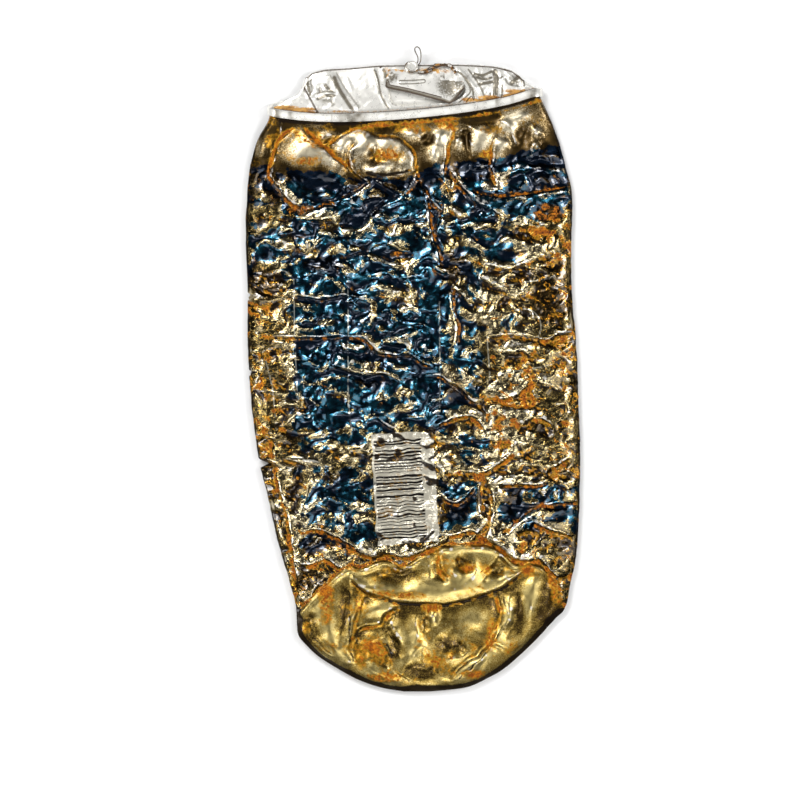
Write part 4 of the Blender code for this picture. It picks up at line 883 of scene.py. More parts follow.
def pale_distance(m):
    """Distance to the nearest of the print's pale lines and its ring."""
    pale = np.abs(np.hypot(m.x - RING_MIDDLE[0], m.y - RING_MIDDLE[1]) - RING_RADIUS)
    for points in PALE_LINES:
        part, _, _, far, _ = m.raster.beside(np.array(points, float), THIN_MARGIN)
        pale[part] = np.minimum(pale[part], np.abs(far))
    return pale


def body_maps(raster):
    """The body's height above its plateau, and the masks of its print, rust, wear and grime, with painted
    light and shade in its tone, painted highlights with the wear and painted shade with the grime.
    """
    m = body_zones(raster)
    m.height = body_height(m)
    m.fine, m.wide = raster.stands_out(m.height, 0.35, 1.1), raster.stands_out(m.height, 0.9, 3.0)
    m.tone = lacquer_tone(m)
    m.blue = blue_ink(m)
    m.rust = body_rust(m)
    m.wear = body_wear(m)
    m.dirt = body_dirt(m)
    m.pale = pale_distance(m)
    return m


def panel_place(x, y):
    """Where a point lies on the panel of bars, as shares of its width and height."""
    (ox, oy), (ax, ay), (bx, by) = BAR_PANEL
    whole = ax * by - ay * bx
    return ((x - ox) * by - (y - oy) * bx) / whole, ((y - oy) * ax - (x - ox) * ay) / whole


# ------------ meshes

SHARP_RIVET, SHARP_SHEET = 40, 50  # on these pieces, edges sharper than this many degrees stay sharp
FLAP_GRID, CURL_GRID, LOOP_GRID = (120, 50), (90, 12), (140, 16)  # points along the piece and across it
RING_POINTS, RING_ROWS = 72, 12


class Surface:
    """Points and faces of one piece, with named masks on the points."""

    def __init__(self):
        self.points, self.faces, self.count = [], [], 0

    def add(self, grid):
        """Adds a grid of points, rows by columns by 3, and returns their numbers."""
        rows, columns = grid.shape[:2]
        numbers = np.arange(self.count, self.count + rows * columns).reshape(rows, columns)
        self.points.append(grid.reshape(-1, 3))
        self.count += rows * columns
        return numbers

    def quads(self, numbers):
        """Fills a grid of point numbers with quads."""
        a, b, c, d = numbers[:-1, :-1], numbers[:-1, 1:], numbers[1:, 1:], numbers[1:, :-1]
        self.faces += np.stack([a, b, c, d], axis=-1).reshape(-1, 4).tolist()

    def strip(self, fine, coarse):
        """Joins two lines. Each step of the coarse one faces the same number of steps of the fine one."""
        ratio = (len(fine) - 1) // (len(coarse) - 1)
        for i in range(len(coarse) - 1):
            face = [*fine[i * ratio : (i + 1) * ratio + 1], coarse[i + 1], coarse[i]]
            self.faces.append([int(number) for number in face])

    def build(self, name, masks, smooth_angle=None):
        """The piece, in the scene. Edges sharper than smooth_angle stay sharp."""
        points = np.concatenate(self.points)
        mesh = bpy.data.meshes.new(name)
        mesh.from_pydata((points * MM).tolist(), [], self.faces)
        for key, values in masks(*points.T).items():
            layer = mesh.attributes.new(key, "FLOAT", "POINT")
            layer.data.foreach_set("value", np.asarray(values, np.float32))
        check = bmesh.new()
        check.from_mesh(mesh)
        bmesh.ops.recalc_face_normals(check, faces=check.faces)
        check.to_mesh(mesh)
        check.free()
        mesh.shade_smooth()
        if smooth_angle:
            mesh.set_sharp_from_angle(angle=math.radians(smooth_angle))
        piece = bpy.data.objects.new(name, mesh)
        bpy.context.scene.collection.objects.link(piece)
        return piece


def raised(plan, z):
    """Plan points with their heights."""
    return np.concatenate([plan, z[..., None]], axis=-1)


def noise_along(x, row, wide, seed):
    """Smooth noise along a line, different for each row number."""
    return noise(x, np.full(x.shape, float(row)), wide, 1, seed)


# ------------ a flattened tube

RIM_LINES = {"front": smooth(RIM_FRONT), "back": smooth(RIM_BACK)}


def rim_row(side, along, columns):
    """Plan points that follow the seam, so far along the can from it."""
    line = RIM_LINES[side]
    x = np.linspace(RIM_LEFT + RIM_Z, RIM_RIGHT - RIM_Z, columns)
    return np.stack([x, np.interp(x, line[:, 0], line[:, 1]) + along], axis=1)


def section_rows(side, section, columns):
    """Rows that follow the seam, for each (outward from its middle line, along the can) of a section."""
    way = 1 if side == "front" else -1
    rows = []
    for outward, along in section:
        height = RIM_Z + way * (RIM_HALF + outward)
        rows.append(np.column_stack([rim_row(side, along, columns), np.full(columns, height)]))
    return np.stack(rows)


def fold(front, back, out, centre, radius, angle):
    """The line of a round fold that lies this angle past the front line, on the way to the back line."""
    share = angle / math.pi
    middle = front[:, :2] * (1 - share) + back[:, :2] * share
    height = np.broadcast_to(centre + radius * math.cos(angle), len(middle))
    return raised(middle + out * (radius * math.sin(angle))[:, None], height)


def flat_bag(surface, front, back, outs, centres, radii, last_outs, coarse):
    """One closed skin round a flattened tube: a fine front and folds, and a back that uses every so many rows
    and columns of its grid. outs are the folds' directions, left and right, row by row. last_outs are those
    of the fold past the last row, column by column."""
    row_step, column_step = coarse
    quarter, half, three = math.pi / 4, math.pi / 2, 3 * math.pi / 4

    def side_fold(side, angle):
        column = (0, -1)[side]
        return fold(front[:, column], back[:, column], outs[side], centres, radii, angle)

    def last_fold(columns, angle):
        lines = front[-1, columns], back[-1, columns]
        return fold(*lines, last_outs[columns], centres[-1:], radii[-1:], angle)

    left = np.stack([side_fold(0, half), side_fold(0, quarter)], axis=1)
    right = np.stack([side_fold(1, quarter), side_fold(1, half)], axis=1)
    fine = surface.add(np.concatenate([left, front, right], axis=1))
    surface.quads(fine)
    inner = slice(1, -1)
    nose = surface.add(np.stack([last_fold(inner, quarter), last_fold(inner, half)]))
    first = np.concatenate([[fine[-1, 1]], nose[0], [fine[-1, -2]]])
    second = np.concatenate([[fine[-1, 0]], nose[1], [fine[-1, -1]]])
    surface.quads(np.stack([fine[-1, 2:-2], first, second]))

    left, right = (side_fold(side, three)[::row_step, None] for side in (0, 1))
    rough = surface.add(np.concatenate([left, back[::row_step, ::column_step], right], axis=1))
    surface.quads(rough)
    surface.strip(fine[:, 0], rough[:, 0])
    surface.strip(fine[:, -1], rough[:, -1])
    under_nose = surface.add(last_fold(slice(column_step, -column_step, column_step), three)[None])[0]
    under_nose = np.concatenate([[rough[-1, 0]], under_nose, [rough[-1, -1]]])
    surface.quads(np.stack([rough[-1, 1:-1], under_nose]))
    surface.strip(second, under_nose)
    surface.faces.append([int(number) for number in [*fine[0], *rough[0][::-1]]])


# ------------ the body

MASKS = ("blue", "rust", "wear", "dirt", "pale", "field", "tone")
FINE_COLUMNS, FINE_ROWS, COARSEN = 198, 371, 3
LEFT_EDGE, RIGHT_EDGE = smooth(BODY_LEFT), smooth(BODY_RIGHT)
OUTLINE = np.concatenate([LEFT_EDGE, RIGHT_EDGE[::-1]])[::3]
THICKENING = 12.0  # over this length up to the seam, the folds grow as thick as the seam
SLOPE_STEP = 1.2  # the outline's direction is taken over this much up and down
LOWEST = 1.0  # the front stays above this
# The dark band along the folds is painted shade.
LOW_END = -75.0  # below this, the folds at the base's foot are darker


def edge_point(edge, y, side):
    """Points on the body's uneven outline at these heights, and the directions that point out there."""

    def at(height):
        uneven = 0.16 * noise_along(height, side, 5.0, 91) + 0.08 * noise_along(height, side, 1.6, 92) - 0.05
        return np.interp(-height, -edge[:, 1], edge[:, 0]) + side * uneven

    slope = (at(y + SLOPE_STEP) - at(y - SLOPE_STEP)) / (2 * SLOPE_STEP)
    out = np.stack([np.full(y.shape, float(side)), -side * slope], axis=-1)
    return at(y), out / np.linalg.norm(out, axis=-1, keepdims=True)


def body_plan(side):
    """Plan points of one side of the body, row by row, with each row's fold directions, height and radius."""
    columns = FINE_COLUMNS + 1
    top, bottom = LEFT_EDGE[0][1], LEFT_EDGE[-1][1]
    heights = resample(LEFT_EDGE, FINE_ROWS)[1:, 1]
    fade = ((heights - bottom) / (top - bottom)) ** 1.5
    widen = 1 - rise((top - heights) / THICKENING)
    radius = FOLD_RADIUS + (RIM_HALF + FLANGE_OUT - FOLD_RADIUS) * widen
    centre = FOLD_Z + (RIM_Z - FOLD_Z) * widen
    rim = rim_row(side, HOOK_FOOT, columns)
    y = heights[:, None] + (rim[None, :, 1] - top) * fade[:, None]
    left_x, left_out = edge_point(LEFT_EDGE, y[:, 0], -1)
    right_x, right_out = edge_point(RIGHT_EDGE, y[:, -1], 1)
    left_out[-1] = right_out[-1] = (0, -1)
    left = np.stack([left_x, y[:, 0]], axis=1) - left_out * radius[:, None]
    for height, deep, drop, opening in TEARS:
        torn = np.clip(1 - np.abs(left[:, 1] - height) / opening, 0, 1)
        left = left + torn[:, None] * np.array([deep, -drop])
    right = np.stack([right_x, y[:, -1]], axis=1) - right_out * radius[:, None]
    u = np.linspace(0, 1, columns)[None, :]
    x = left[:, :1] * (1 - u) + right[:, :1] * u
    y = y + (left[:, 1:] - y[:, :1]) * (1 - u) + (right[:, 1:] - y[:, -1:]) * u
    return np.stack([x, y], axis=-1), (left_out, right_out), centre, radius


def inset_of(x, y, radius):
    """How far the points lie inside the folds, in plan."""
    return np.abs(to_line(x, y, OUTLINE)[0]) - radius[:, None]


def clear_of_rim(x, y):
    """0 at the seam's foot, and 1 from RIM_BLEND below it."""
    return rise((np.interp(x, *RIM_LINES["front"].T) - y + HOOK_FOOT) / RIM_BLEND)


def front_heights(maps, x, y, centre, radius):
    """The front's heights, from the folds up to the relief on its plateau, and up to the seam at the top."""
    inset, clear = inset_of(x, y, radius), clear_of_rim(x, y)
    spread = 1 - (1 - np.clip(inset / EDGE_RISE, 0, 1)) ** 2.2
    spread[:, [0, -1]] = 0
    relief = maps.raster.read(maps.height, x, y)
    seam_z = RIM_Z + RIM_HALF + FLANGE_OUT
    target = (PLATEAU_Z + relief) * clear + seam_z * (1 - clear)
    low = (centre + radius)[:, None]
    z = low + (target - low) * spread + 0.35 * relief * clear * rise(inset) * (1 - spread)
    z = np.where(z > SOFT_TOP, SOFT_TOP + ROOM * np.tanh((z - SOFT_TOP) / ROOM), z)
    return np.maximum(z, LOWEST)


def back_heights(maps, x, y, centre, radius):
    """The underside's heights: flat on the floor, with the front's relief, mirrored, as shallow dents."""
    inset, clear = inset_of(x, y, radius), clear_of_rim(x, y)
    foot = rise(inset / 7.0)
    foot[:, [0, -1]] = 0
    dents = np.clip(maps.raster.read(maps.height, -x, y) * 0.55 + 0.1, 0, 0.9)
    return (centre - radius)[:, None] * (1 - foot * clear) + dents * rise(inset / 4.0) * clear


def body_masks(maps, x, y, z):
    """The body's masks, with painted shade along the side folds. The underside has the front's, mirrored,
    with less wear and without the bars.
    """
    read, underside = maps.raster.read, z < FOLD_Z
    rx = np.where(underside, -x, x)
    found = {name: read(getattr(maps, name), rx, y) for name in MASKS}
    found["wear"] = found["wear"] * np.where(underside, 0.4, 1)
    low_end = np.where(y < LOW_END, 1.0, 0.0)
    # painted shade in a band along the side folds, darker and wider at the base's foot
    fold_shade = band(z, FOLD_Z + 0.3 + 0.25 * low_end, 0.6 + 0.2 * low_end)
    fold_shade *= 1 + (0.5 - 0.3 * low_end) * noise(x, y, 6, 6, 143)
    found["dirt"] = np.maximum(found["dirt"], fold_shade * (1.1 + 0.9 * low_end))
    found["rust"] = found["rust"] - 0.6 * low_end * fold_shade
    across, down = panel_place(rx + 0.5 * noise(rx, y, 4, 4, 141), y + 0.45 * noise(rx, y, 3, 3, 142))
    found["panel_x"], found["panel_y"] = np.where(underside, -1, across), down
    return found


def body_piece(maps):
    """The whole body as one closed skin."""
    n = FINE_COLUMNS + 1
    front, outs, centre, radius = body_plan("front")
    back = body_plan("back")[0]
    front = raised(front, front_heights(maps, front[..., 0], front[..., 1], centre, radius))
    back = raised(back, back_heights(maps, back[..., 0], back[..., 1], centre, radius))
    flange = len(FLANGE_ROWS["front"])
    surface = Surface()
    flat_bag(
        surface,
        np.concatenate([section_rows("front", FLANGE_ROWS["front"], n), front]),
        np.concatenate([section_rows("back", FLANGE_ROWS["back"], n), back]),
        [np.concatenate([[(side, 0)] * flange, out]) for side, out in zip((-1, 1), outs)],
        np.concatenate([[RIM_Z] * flange, centre]),
        np.concatenate([[RIM_HALF + FLANGE_OUT] * flange, radius]),
        np.tile([0.0, -1.0], (n, 1)),
        (COARSEN, COARSEN),
    )
    return surface.build("body_skin", lambda x, y, z: body_masks(maps, x, y, z))


# ------------ the end

END_COLUMNS, END_ROWS, END_COARSEN = 240, 44, 4
SEAM_FACE = 0.6  # the seam's rows further out than this are slightly dented
RIM_TOP, RIM_HIGH = 4.6, 1.6  # the seam's upper face is above this height, and this far up the can at most
SOFTER = 1.3  # how sharp the edges of the end's grey and stained places are


def panel_plan(side):
    """Rows of plan points for one side of the end's panel, from the seam up to the ridge."""
    n = END_COLUMNS + 1
    foot = rim_row(side, SEAM_SECTION[-1][1], n)
    left = resample(smooth([tuple(foot[0]), *PANEL_LEFT]), END_ROWS + 1)
    right = resample(smooth([tuple(foot[-1]), *PANEL_RIGHT[::-1]]), END_ROWS + 1)
    ridge = resample(smooth([PANEL_LEFT[-1], *PANEL_RIDGE, PANEL_RIGHT[0]]), n)
    t = np.linspace(0, 1, END_ROWS + 1)[1:, None, None]
    u = np.linspace(0, 1, n)[None, :, None]
    sides = left[1:, None] * (1 - u) + right[1:, None] * u
    ends = foot[None] * (1 - t) + ridge[None] * t
    corners = (foot[0] * (1 - u) + foot[-1] * u) * (1 - t) + (ridge[0] * (1 - u) + ridge[-1] * u) * t
    return sides + ends - corners


def left_of_tent(x, y):
    """1 well left of the tent's left fold, 0 right of it."""
    (x0, y0), (x1, y1) = TENT_FOOT, TENT_TOP
    side = (x - x0) * (y1 - y0) - (y - y0) * (x1 - x0)
    return rise(0.5 - side / math.hypot(x1 - x0, y1 - y0))


def strokes(mask, x, y):
    """The greatest of the panel's marks on one mask."""
    total = np.zeros(x.shape)
    for this_mask, half_width, strength, points in PANEL_MARKS:
        if this_mask == mask:
            q, along = to_line(x, y, smooth(points, 5))
            total = np.maximum(total, strength * taper(along, 0.12, 0.35) * band(q, 0, half_width))
    return total


def inside_mouth(x, y):
    """1 inside the drinking mouth, 0 outside it."""
    return rise((to_line(x, y, smooth([*MOUTH, MOUTH[0]], 4))[0] + 0.2) / 0.4)


def panel_relief(x, y):
    """Height of the panel's folds, beads and dents, and the grey of their painted shade."""
    height = 0.10 * noise(x, y, 3.0, 3.0, 101) + 0.04 * noise(x, y, 1.2, 1.2, 102)
    crushed = rise((-24.0 - x) / 3.0) + rise((x - 17.0) / 3.0)
    height = height + crushed * 0.28 * (0.5 - np.abs(noise(x, y, 3.4, 3.4, 103)) * 1.6)
    # grey painted shade in the listed places
    grey = ovals(PANEL_GREY, x, y, SOFTER) * (0.7 + 0.5 * noise(x, y, 1.3, 1.3, 104))
    for ridge, step, half_width, shade, points in PANEL_LINES:
        q, along = to_line(x, y, smooth(points, 5))
        ends = taper(along, 0.1, 0.3)
        height += ends * ridge * band(q, 0, half_width)
        height += ends * step * 0.6 * np.tanh(q / half_width) * band(q, 0, 5)
        # grey painted shade on both sides of the fold
        grey = np.maximum(grey, ends * shade * band(np.abs(q), 1.2 * half_width, 0.32))
    return height, grey


def end_masks(x, y, z):
    """The end's grey painted shade in dents, beside folds and on the rim, its stains, its dark edges and
    folds of painted shade, and its open mouth.
    """
    line = np.interp(x, *RIM_LINES["front"].T)
    upper = z > RIM_Z
    on_rim = (z > RIM_TOP) * (y < line + RIM_HIGH)
    on_panel = upper * (1 - on_rim)
    ridge = np.interp(x, *np.array([PANEL_LEFT[-1], *PANEL_RIDGE, PANEL_RIGHT[0]]).T)
    tent = to_line(x, y, np.array([TENT_FOOT, TENT_TOP]))[0]
    # grey painted shade in dents, beside folds and on the rim
    grey = greatest(
        panel_relief(x, y)[1] * on_panel,
        strokes("grey", x, y) * on_panel,
        on_rim * ovals(RIM_GREY, x, line, SOFTER) * (0.8 + 0.4 * noise(x, y, 2, 2, 106)),
    )
    stain = greatest(
        ovals(PANEL_STAIN, x, y, SOFTER) * upper,
        strokes("stain", x, y) * on_panel,
        0.5 * band(y - line, 1.9, 0.6) * on_panel,
    )
    # dark lines of painted shade along folds, above the seam, along the panel's top ridge and the tent's fold
    dark = greatest(
        strokes("dark", x, y) * on_panel,
        0.9 * band(y - line, 1.5, 0.22) * on_panel,
        0.8 * band(y - ridge, 0.1, 0.35) * upper,
        band(tent, 0.1, 0.35) * on_panel,
    )
    return {"grey": grey, "stain": stain, "dark": dark, "mouth": inside_mouth(x, y) * upper}


def end_piece():
    """The seam and the end's panel as one closed skin, with a sunk drinking mouth."""
    n = END_COLUMNS + 1
    seam = section_rows("front", SEAM_SECTION, n)
    for row, (outward, _) in zip(seam, SEAM_SECTION):
        if outward > SEAM_FACE:
            row[:, 2] += 0.05 * noise_along(row[:, 0], outward, 5.0, 105)
    radius = RIM_HALF + SEAM_SECTION[-1][0]
    t = np.linspace(0, 1, END_ROWS + 1)[1:, None]
    u = np.linspace(0, 1, n)[None, :]
    swell = np.sin(math.pi * np.minimum(t, 0.999)) ** 0.7 * np.sin(math.pi * u) ** 0.4
    front, back = panel_plan("front"), panel_plan("back")
    x, y = front[..., 0], front[..., 1]
    inner = np.minimum(rise(t / 0.12), rise((1 - t) / 0.06)) * rise(np.minimum(u, 1 - u) / 0.03)
    up = PANEL_PUFF * swell * (1 - left_of_tent(x, y)) + panel_relief(x, y)[0] * inner
    front = raised(front, RIM_Z + radius + up - MOUTH_DEEP * inside_mouth(x, y))
    back = raised(back, RIM_Z - radius - 0.5 * swell)
    turn = PANEL_TURN * t[:, 0]
    left_out = np.concatenate([[(-1, 0)] * len(SEAM_SECTION), np.column_stack([-np.cos(turn), np.sin(turn)])])
    turns = np.linspace(PANEL_TURN, math.pi - PANEL_TURN, n)
    radii = np.array([RIM_HALF + outward for outward, _ in SEAM_SECTION] + [radius] * END_ROWS)
    surface = Surface()
    flat_bag(
        surface,
        np.concatenate([seam, front]),
        np.concatenate([section_rows("back", SEAM_SECTION, n), back]),
        (left_out, left_out * [-1, 1]),
        np.full(len(radii), RIM_Z),
        radii,
        np.column_stack([-np.cos(turns), np.sin(turns)]),
        (1, END_COARSEN),
    )
    return surface.build("end_skin", end_masks, SHARP_SHEET)


# ------------ the end's flap, curl and rivet


def sheet_piece(name, top, thickness, masks):
    """A closed thin sheet under a grid of points."""
    surface = Surface()
    one = surface.add(top)
    two = surface.add(top - np.array([0, 0, thickness]))
    surface.quads(one)
    surface.quads(two)
    for a, b in ((one[0], two[0]), (one[-1], two[-1]), (one[:, 0], two[:, 0]), (one[:, -1], two[:, -1])):
        surface.quads(np.stack([a, b]))
    return surface.build(name, masks, SHARP_SHEET)


def flap_masks(x, y, z):
    """The flap's grey stipple of painted shade in its dip, painted shade beside its bead and on its rolled
    band, its dark lower edge of painted shadow, and its stained upper one.
    """
    lower = np.abs(to_line(x, y, smooth(FLAP_LOWER))[0])
    upper = to_line(x, y, smooth(FLAP_UPPER))[0]
    bead = np.abs(to_line(x, y, smooth(FLAP_BEAD, 5))[0])
    grey = greatest(
        ovals(FLAP_STIPPLE, x, y) * (0.95 + 0.55 * noise(x, y, 0.45, 0.45, 112)),
        ovals(FLAP_LEFT_END, x, y, 1) * (0.9 + 0.8 * noise(x, y, 0.8, 0.8, 114)),
        band(bead, 0.55, 0.22),
        band(lower, 0.65, 0.40),
    )
    # painted shadow along the lower edge, and painted shade above the rolled band
    dark = np.maximum(1.8 * band(lower, 0, 0.42), 1.1 * band(lower, 1.15, 0.20) * (x < FLAP_BAND_END))
    stain = 0.9 * band(upper, 0, 1.1) * (0.7 + 0.7 * noise(x, y, 1.4, 1.4, 113))
    return {"grey": grey, "stain": stain, "dark": dark, "mouth": 0 * x}


def flap_piece():
    """The opening's flap, bent out and up, with its bead and its rolled lower band."""
    columns, rows = FLAP_GRID
    upper, lower = resample(smooth(FLAP_UPPER), columns), resample(smooth(FLAP_LOWER), columns)
    t = np.linspace(0, 1, rows)[:, None]
    plan = upper[None] * (1 - t[..., None]) + lower[None] * t[..., None]
    x, y = plan[..., 0], plan[..., 1]
    z = FLAP_LOW + (FLAP_HIGH - FLAP_LOW) * np.clip(t * 1.25, 0, 1) ** 0.7 - 0.45 * rise((t - 0.86) / 0.14)
    q, along = to_line(x, y, smooth(FLAP_BEAD, 5))
    z = z + 0.22 * band(q, 0, 0.42 - 0.2 * along) - ovals(FLAP_DIP, x, y, 1)
    z = z + 0.05 * noise(x, y, 2.2, 2.2, 111)
    return sheet_piece("end_flap", raised(plan, z), FLAP_THICK, flap_masks)


def curl_masks(x, y, z):
    """The curl is grey all over, with patches of stain and dark, and painted shade along both edges."""
    edge = np.abs(to_line(x, y, smooth(CURL))[0])
    # painted shade along both edges
    dark = np.clip(np.maximum(0.50 + 0.9 * noise(x, y, 1.1, 0.7, 123), 1.2 * band(edge, 0.62, 0.26)), 0, 1)
    stain = np.clip(0.60 + 0.8 * noise(x, y, 1.2, 1.2, 124), 0, 1)
    return {"grey": 0 * x + 0.4, "stain": stain, "dark": dark, "mouth": 0 * x}


def curl_piece():
    """The torn, curled strip of sheet above the flap."""
    length, rows = CURL_GRID
    line = resample(smooth(CURL), length)
    ahead = np.gradient(line, axis=0)
    side = np.stack([-ahead[:, 1], ahead[:, 0]], axis=1) / np.linalg.norm(ahead, axis=1, keepdims=True)
    along = np.linspace(0, 1, length)
    width = CURL_WIDTH * (0.55 + 0.45 * np.sin(math.pi * along))
    width = width * (1 + 0.3 * noise_along(along, 0, 1 / 9, 121))
    across = np.linspace(-0.5, 0.5, rows)[:, None]
    plan = line[None] + side[None] * (across * width[None])[..., None]
    plan[..., 1] = np.minimum(plan[..., 1], CURL_TOP)
    z = CURL_Z - 0.7 * along * (1 - along) - 0.9 * across**2 + 0.28 * np.sin(9 * TAU * along + 3 * across)
    z = z + 0.2 * noise(plan[..., 0], plan[..., 1], 0.9, 0.9, 122)
    return sheet_piece("end_curl", raised(plan, z), CURL_THICK, curl_masks)


def plain_masks(grey, stain, dark, outline=None):
    """Masks for a small bright piece, broken by noise. outline is (x, y, radius) of a dark ring of painted
    shade.
    """

    def masks(x, y, z):
        grain = noise(x, y + 0.8 * z, 0.8, 0.8, 131)
        shade = np.maximum(dark + 0.4 * grain, 0)
        if outline:
            middle_x, middle_y, radius = outline
            shade = np.maximum(shade, 0.75 * band(np.hypot(x - middle_x, y - middle_y), radius, 0.16))
        return {"grey": grey + 0.3 * grain, "stain": stain + 0.3 * grain, "dark": shade, "mouth": 0 * x}

    return masks


def ringed(name, rings, closed, masks):
    """Rings of points in the rivet's own axes, as one skin. closed joins the last ring to the first."""
    turn = Vector((0, 0, 1)).rotation_difference(Vector(RIVET_AXIS).normalized())
    surface = Surface()
    numbers = surface.add(np.stack(rings) @ np.array(turn.to_matrix()).T + np.array(RIVET_FOOT))
    numbers = np.concatenate([numbers, numbers[:, :1]], axis=1)
    surface.quads(np.concatenate([numbers, numbers[:1]]) if closed else numbers)
    if not closed:
        surface.faces += [numbers[0, :-1].tolist(), numbers[-1, :-1].tolist()]
    return surface.build(name, masks, SHARP_RIVET)


def round_ring(radius, height, shift=0.0):
    """A ring of points round the rivet's axis, shifted along x."""
    angle = np.linspace(0, TAU, RING_POINTS, endpoint=False)
    return np.stack([shift + radius * np.cos(angle), radius * np.sin(angle), 0 * angle + height], axis=1)


def rivet_piece():
    """The rivet, turned from its profile."""
    rings = [round_ring(radius, height) for radius, height in RIVET_PROFILE]
    return ringed("end_rivet", rings, False, plain_masks(0.15, 0.0, 0.0, RIVET_OUTLINE))


# ------------ the tab's stub


def island_piece():
    """The tab's last ring round the rivet, wider on its left and with rolled edges."""
    middle, half = (ISLAND_HOLE + ISLAND_RADIUS) / 2, (ISLAND_RADIUS - ISLAND_HOLE) / 2
    rings = []
    for angle in np.linspace(0, TAU, RING_ROWS, endpoint=False):
        c, s = math.cos(angle), math.sin(angle)
        height = ISLAND_LOW + ISLAND_THICK / 2 * (1 + s)
        rings.append(round_ring(middle + half * c, height, -ISLAND_SHIFT * max(c, 0)))
    return ringed("tab_ring", rings, True, plain_masks(0.75, 0.35, 0.35, ISLAND_OUTLINE))


def loop_piece():
    """The twisted loop of metal that is left of the tab."""
    length, around = LOOP_GRID
    line = resample(smooth(LOOP_ROUTE), length)
    ahead = np.gradient(line, axis=0)
    ahead /= np.linalg.norm(ahead, axis=1, keepdims=True)
    side = np.cross(ahead, [0, 0, 1.0])
    side /= np.linalg.norm(side, axis=1, keepdims=True)
    up = np.cross(side, ahead)
    rows = []
    for angle in np.linspace(0, TAU, around, endpoint=False):
        c, s = math.cos(angle), math.sin(angle)
        a = math.copysign(abs(c) ** 0.5, c) * LOOP_THICK / 2
        b = math.copysign(abs(s) ** 0.5, s) * LOOP_WIDTH / 2
        rows.append(line + side * a + up * b)
    surface = Surface()
    numbers = surface.add(np.stack(rows))
    surface.quads(np.concatenate([numbers, numbers[:1]]))
    surface.faces += [numbers[:, 0].tolist(), numbers[:, -1].tolist()]
    return surface.build("tab_loop", plain_masks(1.0, 0.3, 0.55), SHARP_SHEET)


# ------------ node trees


class Wire:
    """A value inside a node tree. Arithmetic with it adds math nodes."""

    def __init__(self, nodes, socket):
        self.nodes, self.socket = nodes, socket

    def __add__(self, other):
        return self.nodes.math("ADD", self, other)

    def __sub__(self, other):
        return self.nodes.math("SUBTRACT", self, other)

    def __rsub__(self, number):
        return self.nodes.math("SUBTRACT", number, self)

    def __mul__(self, other):
        return self.nodes.math("MULTIPLY", self, other)


class Nodes:
    """Short calls for building the node tree of a material or a world."""

    def __init__(self, owner, shader="Principled BSDF"):
        owner.use_nodes = True
        self.tree = owner.node_tree
        self.shader = self.tree.nodes[shader]

    def new(self, kind, **settings):
        """A new node with these settings."""
        node = self.tree.nodes.new(kind)
        for key, value in settings.items():
            setattr(node, key, value)
        return node

    def put(self, socket, value):
        """Links a wire to the socket, or sets the socket to a plain value. Three numbers are a colour."""
        if isinstance(value, Wire):
            self.tree.links.new(value.socket, socket)
        elif isinstance(value, tuple) and socket.type == "RGBA":
            socket.default_value = (*value, 1.0)
        else:
            socket.default_value = value

    def fill(self, node, output, **inputs):
        """Puts values on the node's inputs, with _ for a space in their names. Returns one of its outputs."""
        for name, value in inputs.items():
            self.put(node.inputs[name.replace("_", " ")], value)
        return Wire(self, node.outputs[output])

    def mask(self, name):
        """One of the mesh's masks."""
        return self.fill(self.new("ShaderNodeAttribute", attribute_name=name), "Fac")

    def math(self, operation, a, b=0.0):
        """A math node."""
        node = self.new("ShaderNodeMath", operation=operation)
        self.put(node.inputs[0], a)
        self.put(node.inputs[1], b)
        return Wire(self, node.outputs[0])

    def span(self, value, low, high, to_low=0.0, to_high=1.0):
        """Maps low..high to to_low..to_high smoothly, and holds the ends."""
        node = self.new("ShaderNodeMapRange", interpolation_type="SMOOTHSTEP")
        return self.fill(node, 0, Value=value, From_Min=low, From_Max=high, To_Min=to_low, To_Max=to_high)

    def place(self, scale=(1, 1, 1)):
        """Object coordinates in millimetres, scaled."""
        node = self.new("ShaderNodeVectorMath", operation="MULTIPLY")
        self.put(node.inputs[0], self.fill(self.new("ShaderNodeTexCoord"), "Object"))
        self.put(node.inputs[1], tuple(s / MM for s in scale))
        return Wire(self, node.outputs[0])

    def noise(self, scale, detail, roughness=0.55, stretch=(1, 1, 1), distortion=0.0):
        """A noise texture with this many features to the millimetre."""
        node = self.new("ShaderNodeTexNoise")
        return self.fill(
            node, "Fac", Vector=self.place(stretch), Scale=scale, Detail=detail, Roughness=roughness,
            Distortion=distortion,
        )

    def mix(self, factor, a, b):
        """Colour a where the factor is 0, and b where it is 1."""
        node = self.new("ShaderNodeMix", data_type="RGBA")
        for number, value in ((0, factor), (6, a), (7, b)):
            self.put(node.inputs[number], value)
        return Wire(self, node.outputs[2])

    def bump(self, height, strength, distance, under=None):
        """A bump of this depth in millimetres, over another one."""
        bump = self.fill(
            self.new("ShaderNodeBump"), "Normal", Strength=strength, Distance=distance * MM, Height=height
        )
        if under:
            self.put(bump.socket.node.inputs["Normal"], under)
        return bump


# ------------ materials

GOLD, GOLD_DEEP, GOLD_DARK = (0.50, 0.415, 0.24), (0.26, 0.19, 0.07), (0.060, 0.036, 0.011)
NECK_GOLD, NECK_DEEP = (0.76, 0.67, 0.48), (0.30, 0.215, 0.10)
BASE_GOLD, BASE_DEEP = (0.55, 0.43, 0.16), (0.31, 0.205, 0.045)
BLUE_INK, BLUE_DEEP, BLUE_BLACK = (0.015, 0.115, 0.175), (0.005, 0.036, 0.072), (0.003, 0.008, 0.018)
# Bare metal, which on worn crests also stands as a painted highlight.
BARE_AND_HIGHLIGHT = (0.88, 0.84, 0.77)
PALE_INK, BLACK_INK = (0.76, 0.72, 0.60), (0.02, 0.017, 0.015)
RUST_LIGHT, RUST_MIDDLE, RUST_DARK = (0.53, 0.175, 0.008), (0.27, 0.070, 0.004), (0.060, 0.015, 0.003)
AMBER, AMBER_DEEP = (0.50, 0.25, 0.020), (0.035, 0.016, 0.005)
